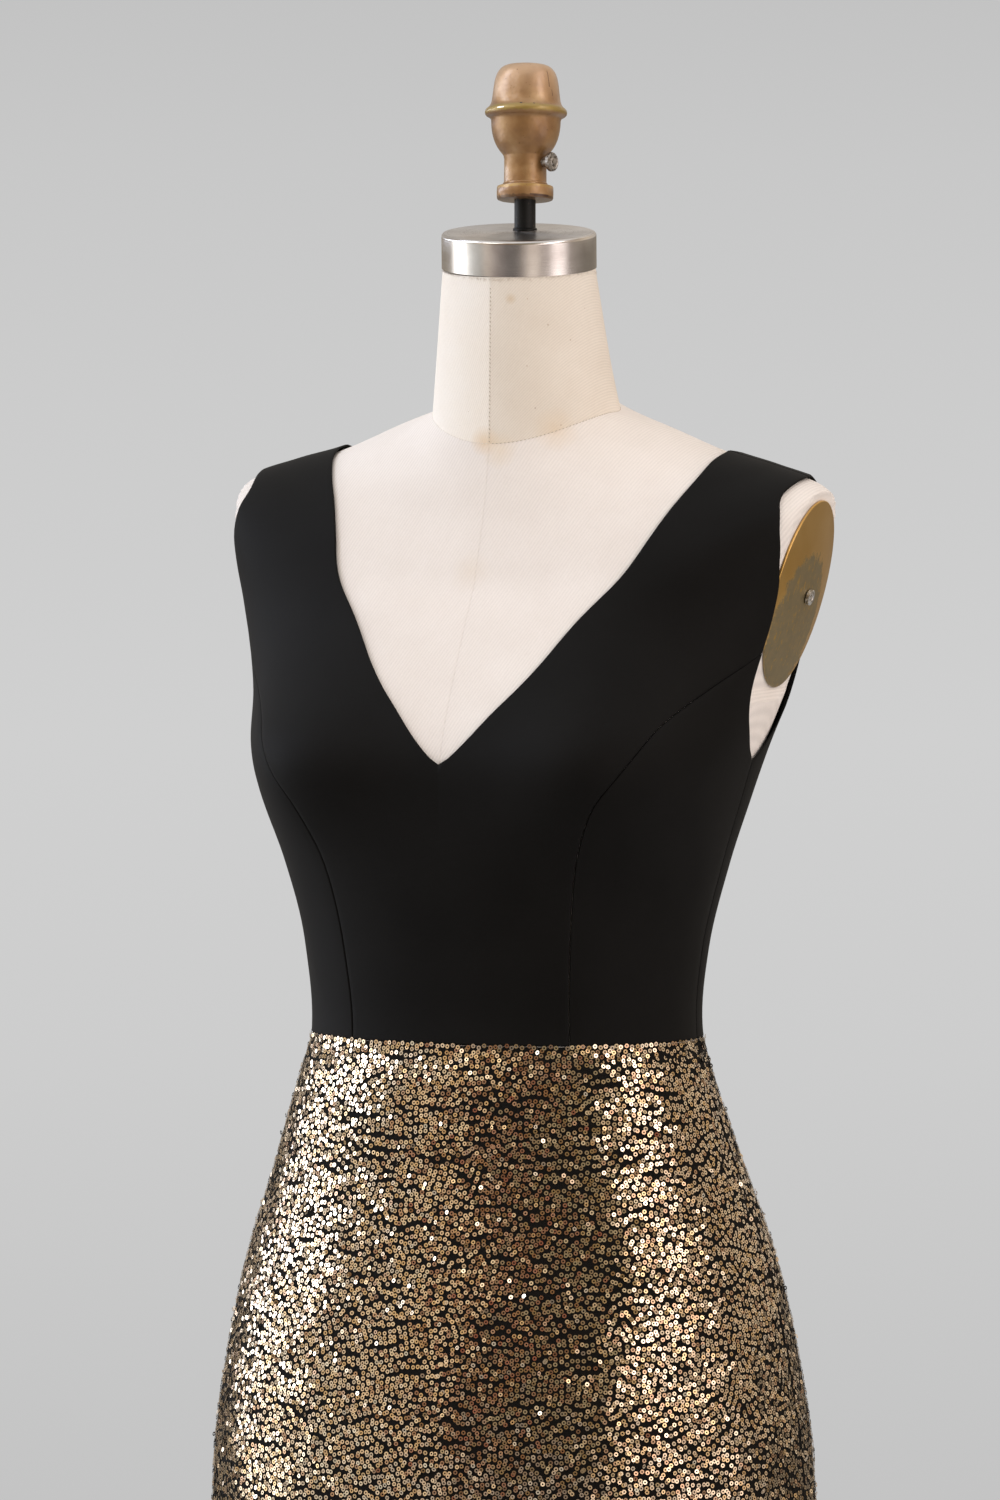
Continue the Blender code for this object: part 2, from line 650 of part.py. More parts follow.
def build_arm_plate(side_name, side):
    """A shallow brass dome with an oval rim, screwed over the arm cut."""
    profile = [(0.0, PLATE_RIM + PLATE_DOME)]
    for k in range(1, 5):
        radius = k / 4
        profile.append((radius, PLATE_RIM + PLATE_DOME * (1 - radius ** 2)))
    profile += [(1.0, 0.0), (0.0, 0.0)]
    plate = turned("arm_plate_" + side_name, profile, AGED_BRASS, 28)
    squash = Matrix.Diagonal((PLATE_HALF_WIDTH, PLATE_HALF_HEIGHT, 1.0, 1.0))
    plate.matrix_world = plate_matrix(side) @ squash
    smooth(plate, 30)


def build_arm_nut(side_name, side):
    """The hexagon nut in the middle of an arm plate."""
    bpy.ops.mesh.primitive_cylinder_add(vertices=6, radius=NUT_RADIUS, depth=NUT_HEIGHT)
    nut = bpy.context.object
    nut.name = "arm_nut_" + side_name
    seat = PLATE_RIM + PLATE_DOME + SEAM_GAP + NUT_HEIGHT / 2
    nut.matrix_world = plate_matrix(side) @ Matrix.Translation((0, 0, seat))
    for owner in nut.users_collection:
        owner.objects.unlink(nut)
    PARTS.objects.link(nut)
    nut.data.materials.append(BRUSHED_STEEL)


SOCKET_TOP = 0.070
SOCKET_FLOOR = 0.010
FLANGE_RADIUS = 0.060
FLANGE_THICK = 0.008


def build_pole():
    """A tube with the flange that carries the form's foot."""
    top = FOOT_Z - SEAM_GAP
    profile = [(0.0, top), (FLANGE_RADIUS, top), (FLANGE_RADIUS, top - FLANGE_THICK),
               (0.024, top - FLANGE_THICK - 0.004), (POLE_RADIUS, top - 0.045),
               (POLE_RADIUS, SOCKET_FLOOR + SEAM_GAP), (0.0, SOCKET_FLOOR + SEAM_GAP)]
    pole = turned("stand_pole", profile, BLACK_STEEL, 24)
    pole.location = (0.0, POLE_Y, 0.0)
    smooth(pole)


def build_base():
    """A round base with a collar that the pole stands in."""
    bore = POLE_RADIUS + SEAM_GAP
    profile = [(0.0, SOCKET_TOP), (0.029, SOCKET_TOP), (0.031, SOCKET_TOP - 0.003),
               (0.033, 0.030), (0.045, 0.020), (0.080, 0.016)]
    profile += arc(BASE_RADIUS - 0.005, 0.007, 0.005, 90, 0, 3)
    profile += [(BASE_RADIUS, 0.0), (0.0, 0.0)]
    base = turned("stand_base", profile, BLACK_STEEL, 40)
    base.location = (0.0, POLE_Y, 0.0)
    smooth(base)
    depth = SOCKET_TOP
    place = Matrix.Translation((0.0, POLE_Y, SOCKET_FLOOR + depth / 2))
    cut(base, cutter_cylinder("pole_socket", bore, depth, place, 24))


# ---- the back zip ----------------------------------------------------------
ZIP_LEVEL = 9.05
SLIDER_SIZE = (0.0052, 0.0018, 0.0090)
CHEEK_SIZE = (0.0009, 0.0030, 0.0034)
CHEEK_X = 0.00215
PIN_RADIUS = 0.0006
EYE_OUTER = 0.0014
EYE_INNER = 0.0009
EYE_LENGTH = 0.0028
PULL_LENGTH = 0.022
PULL_WIDTH = 0.0060
PULL_THICK = 0.0011


def zip_matrix():
    """The slider's frame on the back: local Y points away from the cloth."""
    place = bodice_point(ZIP_LEVEL, 180.0)
    outward = body_normal(ZIP_LEVEL, 180.0)
    upward = Vector((1, 0, 0)).cross(outward).normalized()
    place += outward * (CREPE + SEAM_GAP)
    turn = Matrix((Vector((1, 0, 0)), outward, upward)).transposed().to_4x4()
    return Matrix.Translation(place) @ turn


def box_object(name, size, matrix, collection):
    bpy.ops.mesh.primitive_cube_add(size=1.0)
    box = bpy.context.object
    box.name = name
    box.data.transform(Matrix.Diagonal((*size, 1.0)))
    box.matrix_world = matrix
    for owner in box.users_collection:
        owner.objects.unlink(box)
    collection.objects.link(box)
    if collection is CUTTERS:
        box.hide_render = True
        box.display_type = "WIRE"
    return box


def pin_centre():
    """The pull's hinge line, in the slider's frame."""
    return Vector((0.0, SLIDER_SIZE[1] + 0.0017, -0.0012))


def build_zip_slider():
    frame = zip_matrix()
    body = box_object("zip_slider", SLIDER_SIZE,
                      frame @ Matrix.Translation((0, SLIDER_SIZE[1] / 2, 0)), PARTS)
    body.data.materials.append(BLACK_STEEL)
    for side in (-1, 1):
        place = Matrix.Translation((side * CHEEK_X, SLIDER_SIZE[1] + CHEEK_SIZE[1] / 2 - 0.0002,
                                    pin_centre().z))
        cheek = box_object("zip_cheek_%d" % side, CHEEK_SIZE, frame @ place, CUTTERS)
        cut(body, cheek, "UNION")
    across = Matrix.Rotation(math.radians(90), 4, "Y")
    pin = cutter_cylinder("zip_pin", PIN_RADIUS, 2 * CHEEK_X + 0.0004,
                          frame @ Matrix.Translation(pin_centre()) @ across, 10)
    cut(body, pin, "UNION")


def build_zip_pull():
    """A teardrop tab whose rolled eye turns on the slider's pin."""
    hinge = zip_matrix() @ Matrix.Translation(pin_centre())
    hang = Matrix.Translation(hinge.translation)
    outline = [(-EYE_LENGTH / 2, -EYE_OUTER * 0.6), (EYE_LENGTH / 2, -EYE_OUTER * 0.6)]
    for k in range(9):
        angle = math.radians(20 - 220 * k / 8)
        outline.append((PULL_WIDTH / 2 * math.cos(angle),
                        -PULL_LENGTH + PULL_WIDTH / 2 + PULL_WIDTH / 2 * math.sin(angle)))
    shape = bmesh.new()
    flat = [shape.verts.new((x, -PULL_THICK / 2, z)) for x, z in outline]
    face = shape.faces.new(flat)
    grown = bmesh.ops.extrude_face_region(shape, geom=[face])
    moved = [item for item in grown["geom"] if isinstance(item, bmesh.types.BMVert)]
    bmesh.ops.translate(shape, verts=moved, vec=(0, PULL_THICK, 0))
    bmesh.ops.recalc_face_normals(shape, faces=shape.faces)
    mesh = bpy.data.meshes.new("zip_pull")
    shape.to_mesh(mesh)
    shape.free()
    pull = add_object("zip_pull", mesh, BLACK_STEEL)
    pull.matrix_world = hang
    across = Matrix.Rotation(math.radians(90), 4, "Y")
    eye = cutter_cylinder("pull_eye", EYE_OUTER, EYE_LENGTH, hang @ across, 16)
    cut(pull, eye, "UNION")
    hole = cutter_cylinder("pull_hole", EYE_INNER, 3 * EYE_LENGTH, hang @ across, 12)
    cut(pull, hole)


# ---- the whole dress on its form -------------------------------------------
build_centre_front()
for side_name, side_sign in (("left", 1), ("right", -1)):
    build_side_front("bodice_side_front_" + side_name, side_sign)
    build_side_back("bodice_side_back_" + side_name, side_sign)
    build_centre_back("bodice_centre_back_" + side_name, side_sign)
    build_arm_plate(side_name, side_sign)
    build_arm_nut(side_name, side_sign)
build_skirt_panel("skirt_front", -SKIRT_SEAM_TURN, SKIRT_SEAM_TURN, 24)
build_skirt_panel("skirt_back_left", SKIRT_SEAM_TURN, 180.0, 12)
build_skirt_panel("skirt_back_right", -180.0, -SKIRT_SEAM_TURN, 12)
build_form()
build_neck_cap()
build_neck_rod()
build_knob()
build_thumbscrew()
build_pole()
build_base()
build_zip_slider()
build_zip_pull()
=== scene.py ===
# %% [markdown]
# # A sequined maxi dress on its dress form
# The solids of this dress already have the right sizes and places. This lesson gives them
# their looks: black crepe with soft edges, a skirt covered with real sequins, a canvas
# torso with its seams, and the small metal pieces above and beside it. Every piece is
# measured in metres, in the same space as the solids, so nothing has to be fitted.

# %% Load the solids
import math

import bpy
import numpy as np
from mathutils import Matrix, Vector


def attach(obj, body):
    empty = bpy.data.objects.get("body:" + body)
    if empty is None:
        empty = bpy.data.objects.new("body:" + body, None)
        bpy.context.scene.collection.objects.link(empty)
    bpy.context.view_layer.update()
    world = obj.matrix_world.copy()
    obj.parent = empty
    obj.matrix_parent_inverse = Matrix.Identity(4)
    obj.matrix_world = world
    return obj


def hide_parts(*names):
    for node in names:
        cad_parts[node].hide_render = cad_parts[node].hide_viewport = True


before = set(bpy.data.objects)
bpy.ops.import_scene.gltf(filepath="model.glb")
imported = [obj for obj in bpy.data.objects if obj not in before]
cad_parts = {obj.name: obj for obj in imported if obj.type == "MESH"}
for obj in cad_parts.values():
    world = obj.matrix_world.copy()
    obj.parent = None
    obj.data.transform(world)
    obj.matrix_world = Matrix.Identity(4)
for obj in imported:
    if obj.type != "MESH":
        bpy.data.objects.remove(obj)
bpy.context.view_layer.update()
CM = 0.01
MM = 0.001
BODY = "dress_on_form"          # the body that every still piece rides on

# %% [markdown]
# The camera comes first, because it decides how fine a detail has to be. The photograph
# is a close-up from a little to the wearer's left and just above the middle of the frame,
# taken with a long lens, so the upright lines of the form hardly run together.

# %% Camera
CAMERA_AZIMUTH = math.radians(22.0)     # from the front of the dress towards its left
CAMERA_ELEVATION = math.radians(3.5)
CAMERA_DISTANCE = 8.0
CAMERA_AIM = Vector((-0.0096, -0.0039, 1.2475))
FRAME_HEIGHT = 0.9147                   # what the picture's height covers at the aim
SENSOR_MM = 36.0

towards_camera = Vector((
    math.sin(CAMERA_AZIMUTH) * math.cos(CAMERA_ELEVATION),
    -math.cos(CAMERA_AZIMUTH) * math.cos(CAMERA_ELEVATION),
    math.sin(CAMERA_ELEVATION)))
camera_data = bpy.data.cameras.new("close_up")
camera_data.sensor_fit = "VERTICAL"
camera_data.sensor_height = SENSOR_MM
camera_data.lens = SENSOR_MM * CAMERA_DISTANCE / FRAME_HEIGHT
camera = bpy.data.objects.new("close_up", camera_data)
camera.location = CAMERA_AIM + towards_camera * CAMERA_DISTANCE
camera.rotation_euler = towards_camera.to_track_quat("Z", "Y").to_euler()
bpy.context.scene.collection.objects.link(camera)
bpy.context.scene.camera = camera
bpy.context.scene.view_settings.view_transform = "Standard"
print("lens: %.0f mm" % camera_data.lens)

# %% [markdown]
# The torso, and the dress on it, follow one surface: named rings that tilt over the
# shoulders, with a smooth curve through each column of the table. Working with whole
# arrays of levels and turns at once keeps the fine meshes quick to make.

# %% The rings of the torso
RING_COLUMNS = ("side_x", "side_y", "side_z", "front_y", "front_z",
                "back_y", "back_z", "front_n", "back_n")
BODY_RINGS = {
    # name        side_x side_y  side_z front_y front_z back_y back_z front_n back_n
    "foot":       (17.0, -0.3,   79.0,  -12.7,  79.0,   12.3,  79.0,  2.30, 2.40),
    "hip":        (17.1, -0.4,   87.5,  -13.1,  87.5,   12.3,  87.5,  2.30, 2.40),
    "belly":      (15.3, -0.7,   95.0,  -12.3,  95.0,   10.8,  95.0,  2.20, 2.30),
    "high_hip":   (13.3, -1.1,  101.0,  -11.1, 101.0,    8.8, 101.0,  2.20, 2.20),
    "waist":      (12.0, -1.5,  107.5,  -10.3, 107.5,    7.1, 107.5,  2.15, 2.10),
    "ribs":       (12.3, -1.5,  113.0,  -11.0, 113.0,    7.7, 113.0,  2.20, 2.10),
    "under_bust": (13.4, -1.2,  118.0,  -12.0, 118.0,    8.8, 118.0,  2.25, 2.15),
    "low_bust":   (14.5, -1.0,  122.0,  -12.4, 122.0,    9.9, 122.0,  2.35, 2.30),
    "bust":       (15.4, -0.6,  125.5,  -12.3, 125.0,   10.9, 125.5,  2.40, 2.50),
    "underarm":   (16.3,  1.0,  128.8,  -10.9, 128.4,   11.4, 129.0,  2.30, 2.60),
    "plate_mid":  (18.0,  2.6,  133.9,   -8.7, 132.3,   11.4, 133.0,  2.20, 2.50),
    "plate_top":  (19.5,  2.9,  139.0,   -7.1, 134.8,   10.6, 137.5,  2.15, 2.40),
    "shoulder":   (18.6,  3.1,  140.9,   -6.4, 136.6,    9.8, 140.0,  2.00, 2.30),
    "strap_mid":  (15.6,  3.2,  142.0,   -5.6, 138.8,    8.8, 142.0,  1.85, 2.20),
    "strap_in":   (12.4,  3.3,  142.9,   -5.1, 140.6,    7.9, 143.7,  1.85, 2.10),
    "neck_side":  ( 8.5,  2.9,  144.5,   -4.7, 142.3,    7.2, 145.1,  1.90, 2.00),
    "neck_base":  ( 5.75, 1.8,  145.4,   -4.5, 143.6,    6.65, 146.9, 2.00, 2.00),
    "neck_low":   ( 5.3,  1.1,  148.6,   -4.4, 147.6,    6.0, 149.6,  2.00, 2.00),
    "neck_top":   ( 4.65, 0.35, 154.13,  -4.3, 153.68,   5.0, 154.58, 2.00, 2.00),
}
LEVELS = np.array(list(BODY_RINGS.values()))
TOP_LEVEL = len(LEVELS) - 1
NECK_BASE_LEVEL = list(BODY_RINGS).index("neck_base")   # the canvas has a crease here
NECK_TILT = 0.0295          # the neck's top dips to the wearer's left, cm a cm
BUST = {"x": 9.2, "z": 124.4, "out": 1.75, "wide": 4.9, "above": 5.4, "below": 4.5}
ARM_CUT = {"low_x": 15.6, "low_z": 128.75, "lean": 0.27, "ledge": 0.8, "from_z": 126.0}


def catmull_rom(rows, position):
    """A smooth curve through the rows of a table, read at an array of row positions."""
    rows = np.asarray(rows, float)
    last = len(rows) - 1
    position = np.clip(position, 0.0, last)
    i = np.minimum(position.astype(int), last - 1)
    f = (position - i)[..., None]
    p, q = rows[np.maximum(i - 1, 0)], rows[i]
    r, s = rows[i + 1], rows[np.minimum(i + 2, last)]
    return 0.5 * (2 * q + (r - p) * f + (2 * p - 5 * q + 4 * r - s) * f ** 2
                  + (3 * q - p - 3 * r + s) * f ** 3)


def rings_at(level):
    """Ring sizes at these levels, with a crease where the neck is sewn on."""
    below = catmull_rom(LEVELS[:NECK_BASE_LEVEL + 1], level)
    above = catmull_rom(LEVELS[NECK_BASE_LEVEL:], level - NECK_BASE_LEVEL)
    sizes = np.where((level <= NECK_BASE_LEVEL)[..., None], below, above)
    return dict(zip(RING_COLUMNS, np.moveaxis(sizes, -1, 0)))


def signed_power(value, exponent):
    return np.copysign(np.abs(value) ** exponent, value)


def unit(vectors):
    return vectors / np.linalg.norm(vectors, axis=-1, keepdims=True)


def body_points(level, turn):
    """Points on the torso; turn is in degrees from centre front to the wearer's left."""
    level, turn = np.broadcast_arrays(np.asarray(level, float), np.asarray(turn, float))
    ring = rings_at(level)
    sine, cosine = np.sin(np.radians(turn)), np.cos(np.radians(turn))
    front = cosine > 0
    power = 2 / np.where(front, ring["front_n"], ring["back_n"])
    end_y = np.where(front, ring["front_y"], ring["back_y"])
    end_z = np.where(front, ring["front_z"], ring["back_z"])
    x = ring["side_x"] * signed_power(sine, power)
    y = ring["side_y"] + (end_y - ring["side_y"]) * np.abs(cosine) ** power
    z = ring["side_z"] + (end_z - ring["side_z"]) * cosine ** 2
    z = z - NECK_TILT * x * np.clip(level - (TOP_LEVEL - 1), 0.0, 1.0)
    spread = np.where(z > BUST["z"], BUST["above"], BUST["below"])
    dome = np.exp(-((np.abs(x) - BUST["x"]) / BUST["wide"]) ** 2
                  - ((z - BUST["z"]) / spread) ** 2)
    dome *= BUST["out"] * np.clip(3 * cosine, 0.0, 1.0)
    return np.stack((x + 0.35 * np.copysign(dome, x), y - dome, z), axis=-1) * CM


def body_normals(level, turn):
    along = body_points(level + 0.02, turn) - body_points(level - 0.02, turn)
    around = body_points(level, turn + 1) - body_points(level, turn - 1)
    return unit(np.cross(around, along))


def arm_cut_x(z):
    """Half width of the flat arm cut at height z, all in centimetres."""
    rise = z - ARM_CUT["low_z"]
    return ARM_CUT["low_x"] + np.where(rise > 0, ARM_CUT["lean"], -ARM_CUT["ledge"]) * rise


front_waist = body_points(4.0, 0.0)
print("front of the waist at", np.round(front_waist, 3))

# %% [markdown]
# Cloth and torso are grids wrapped on a surface. A grid primitive already has its faces
# in rows and columns, so it is enough to add one and to move each of its points to its
# place. A closed shell is two such grids, one turned over, merged along their edges.

# %% Helpers for wrapped grids
def deselect_all():
    bpy.ops.object.select_all(action="DESELECT")


def wrapped_grid(name, points):
    """A grid primitive whose points are moved to points[row, column]."""
    rows, columns = points.shape[0] - 1, points.shape[1] - 1
    deselect_all()
    bpy.ops.mesh.primitive_grid_add(x_subdivisions=columns, y_subdivisions=rows, size=2)
    thing = bpy.context.object
    thing.name = name
    mesh = thing.data
    flat = np.empty(3 * len(mesh.vertices))
    mesh.vertices.foreach_get("co", flat)
    flat = flat.reshape(-1, 3)
    column = np.rint((flat[:, 0] + 1) / 2 * columns).astype(int)
    row = np.rint((flat[:, 1] + 1) / 2 * rows).astype(int)
    mesh.vertices.foreach_set("co", points[row, column].ravel())
    mesh.update()
    return thing


def edit(thing, *steps):
    """Runs edit-mode operators on the whole of one piece."""
    deselect_all()
    thing.select_set(True)
    bpy.context.view_layer.objects.active = thing
    bpy.ops.object.mode_set(mode="EDIT")
    bpy.ops.mesh.select_all(action="SELECT")
    for operator, settings in steps:
        operator(**settings)
    bpy.ops.object.mode_set(mode="OBJECT")


MERGE = (bpy.ops.mesh.remove_doubles, {"threshold": 0.000002})
TURN_OVER = (bpy.ops.mesh.flip_normals, {})


def join(name, things):
    deselect_all()
    for thing in things:
        thing.select_set(True)
    bpy.context.view_layer.objects.active = things[0]
    if len(things) > 1:
        bpy.ops.object.join()
    things[0].name = name
    things[0].data.name = name
    return things[0]


def smooth(thing, angle=40.0):
    deselect_all()
    thing.select_set(True)
    bpy.context.view_layer.objects.active = thing
    bpy.ops.object.shade_smooth_by_angle(angle=math.radians(angle))


def dress(thing, material, slot, *nodes):
    """Gives a piece its finish, its body and the solids that it stands for."""
    thing.data.materials.clear()
    thing.data.materials.append(material)
    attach(thing, BODY)
    if nodes:
        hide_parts(*nodes)
    thing.data.calc_loop_triangles()
    print("%-26s %6d triangles" % (thing.name, len(thing.data.loop_triangles)))
    return thing


# %% [markdown]
# A material starts from what the real stuff is. One function turns a colour picked on
# screen into the linear colour that the shader works with, and one adds a node with its
# settings and links. An input that is given a whole node takes that node's first output.

# %% Helpers for materials
def srgb(code):
    """A hex colour such as #c9a877 as linear red, green, blue and alpha."""
    channels = [int(code[i:i + 2], 16) / 255 for i in (1, 3, 5)]
    linear = [c / 12.92 if c <= 0.04045 else ((c + 0.055) / 1.055) ** 2.4 for c in channels]
    return (*linear, 1.0)


def set_inputs(node, inputs):
    """Gives sockets a plain value, or links them to an output or to a node's first one."""
    for name, value in inputs.items():
        if isinstance(value, bpy.types.Node):
            value = next(output for output in value.outputs if output.enabled)
        if isinstance(value, bpy.types.NodeSocket):
            node.id_data.links.new(value, node.inputs[name])
        else:
            node.inputs[name].default_value = value


def add_node(tree, kind, inputs=None, **settings):
    """Adds a node with its settings and its inputs."""
    node = tree.nodes.new("ShaderNode" + kind)
    for name, value in settings.items():
        setattr(node, name, value)
    set_inputs(node, inputs or {})
    return node


def new_material(name, inputs):
    """A Principled material whose sockets get plain values."""
    material = bpy.data.materials.new(name)
    material.use_nodes = True
    shader = material.node_tree.nodes["Principled BSDF"]
    set_inputs(shader, inputs)
    return material, material.node_tree, shader


def paint_ramp(node, stops):
    """Sets a colour ramp's stops from (position, colour) pairs; a colour may be hex."""
    ramp = node.color_ramp
    while len(ramp.elements) > 1:
        ramp.elements.remove(ramp.elements[-1])
    for k, (position, colour) in enumerate(stops):
        stop = ramp.elements[0] if k == 0 else ramp.elements.new(position)
        stop.position = position
        stop.color = srgb(colour) if isinstance(colour, str) else colour


def distance_from(tree, value, middle):
    """How far one value is from another."""
    away = add_node(tree, "Math", {0: value, 1: middle}, operation="SUBTRACT")
    return add_node(tree, "Math", {0: away}, operation="ABSOLUTE")


print("the gold of #c9a877 in linear light:", np.round(srgb("#c9a877")[:3], 3))

# %% [markdown]
# Polyester crepe is woven from hard-twisted yarns, which give it a fine pebbled grain and
# a matte face with only a faint sheen. The real grain is about 0.4 mm, too fine to show
# from here, so it is drawn twice as coarse.

# %% Black crepe
CREPE_GRAIN = 0.8 * MM


def make_crepe():
    material, tree, shader = new_material("black_crepe_weave", {
        "Roughness": 0.66, "Specular IOR Level": 0.10, "Sheen Weight": 0.01,
        "Sheen Roughness": 0.4})
    where = add_node(tree, "TexCoord").outputs["Object"]
    grain = add_node(tree, "TexNoise", {"Vector": where, "Scale": 1 / CREPE_GRAIN, "Detail": 2.0})
    cloud = add_node(tree, "TexNoise", {"Vector": where, "Scale": 18.0, "Detail": 3.0})
    colour = add_node(tree, "ValToRGB", {"Fac": cloud})
    paint_ramp(colour, ((0.3, "#0d0c0b"), (0.7, "#11100f")))
    bump = add_node(tree, "Bump", {"Height": grain, "Strength": 0.25, "Distance": 0.0002})
    set_inputs(shader, {"Base Color": colour, "Normal": bump})
    return material


BLACK_CREPE = make_crepe()
print("crepe grain drawn at %.1f mm" % (CREPE_GRAIN / MM))

# %% [markdown]
# The torso is covered with unbleached cotton canvas. The neck is cut from plain weave that
# has yellowed and picked up specks; the chest is a fine twill with faint diagonal ribs.
# The two neck pieces were cut in different directions, so their tone steps at the
# centre-front seam, and the wearer's right piece is painted lighter as well: painted light
# from the key lamp on that side. The torso's own map tells where a point lies: across is
# the turn round the body and up is the level, so a seam is a thin line of that map.

# %% Canvas
TWILL_RIB = 1.9 * MM
NECK_RIB = 1.3 * MM
WEAVE_THREAD = 0.8 * MM
NECK_SEAM = NECK_BASE_LEVEL / TOP_LEVEL
SEAM_HALF = 0.55 * MM           # half width of a seam's line
SEAM_HALF_ON_MAP = 0.00055      # the same in the map's height, for the seam round the neck
SEAM_SHADE = 0.08
STAINS = (
    # level  turn   radius_mm strength colour
    (17.72,  15.0,  4.5,      0.45,    "#c4a575"),
    (16.05,  -3.0,  11.0,     0.60,    "#d9b98c"),
    (16.00,  40.0,  16.0,     0.35,    "#dcc19b"),
    (15.60,  6.0,   14.0,     0.40,    "#e3cba6"),
    (11.60,  -1.0,  16.0,     0.25,    "#d8c4a8"),
    (13.70,  104.0, 20.0,     0.35,    "#d9bf97"),
    (13.00,  -96.0, 22.0,     0.35,    "#d9bf97"),
    # small brown specks on the neck
    (17.45,  41.0,  0.7,      0.80,    "#9a7450"),
    (17.28,  57.0,  0.8,      0.80,    "#9a7450"),
    (17.10,  25.0,  0.7,      0.70,    "#9a7450"),
    (16.55,  29.0,  0.7,      0.70,    "#8f6f50"),
    (16.12,  44.0,  0.8,      0.60,    "#9a7450"),
    (17.55,  74.0,  0.6,      0.60,    "#9a7450"),
)


def ribs_of_cloth(tree, where, slant, pitch):
    """Fine slanting ribs, a wave that repeats every so many metres."""
    turned = add_node(tree, "Mapping", {"Vector": where, "Rotation": (0, math.radians(slant), 0)})
    return add_node(tree, "TexWave", {"Vector": turned, "Scale": 2 * math.pi / (20 * pitch),
                                      "Distortion": 0.8, "Detail": 2.0, "Detail Scale": 3.0},
                    wave_type="BANDS", bands_direction="Z").outputs["Fac"]


def canvas_tone(tree, cloud, dark, light, ribs, weave):
    """Clouded cloth colour, a little darker between its ribs and threads."""
    tone = add_node(tree, "ValToRGB", {"Fac": cloud})
    paint_ramp(tone, ((0.3, dark), (0.7, light)))
    threads = add_node(tree, "Math", {0: ribs, 1: weave}, operation="ADD")
    shade = add_node(tree, "MapRange", {"Value": threads, "From Min": 0.3, "From Max": 1.6,
                                        "To Min": 0.91, "To Max": 1.04})
    grey = add_node(tree, "CombineColor", {"Red": shade, "Green": shade, "Blue": shade})
    return add_node(tree, "Mix", {0: 1.0, 6: tone, 7: grey}, data_type="RGBA",
                    blend_type="MULTIPLY")


def seam_line_mask(tree, value, position, half):
    """1 on a thin line where value is near position, fading to 0 at half its width."""
    return add_node(tree, "MapRange", {"Value": distance_from(tree, value, position),
                                       "From Min": 0.3 * half, "From Max": half,
                                       "To Min": 1.0, "To Max": 0.0})


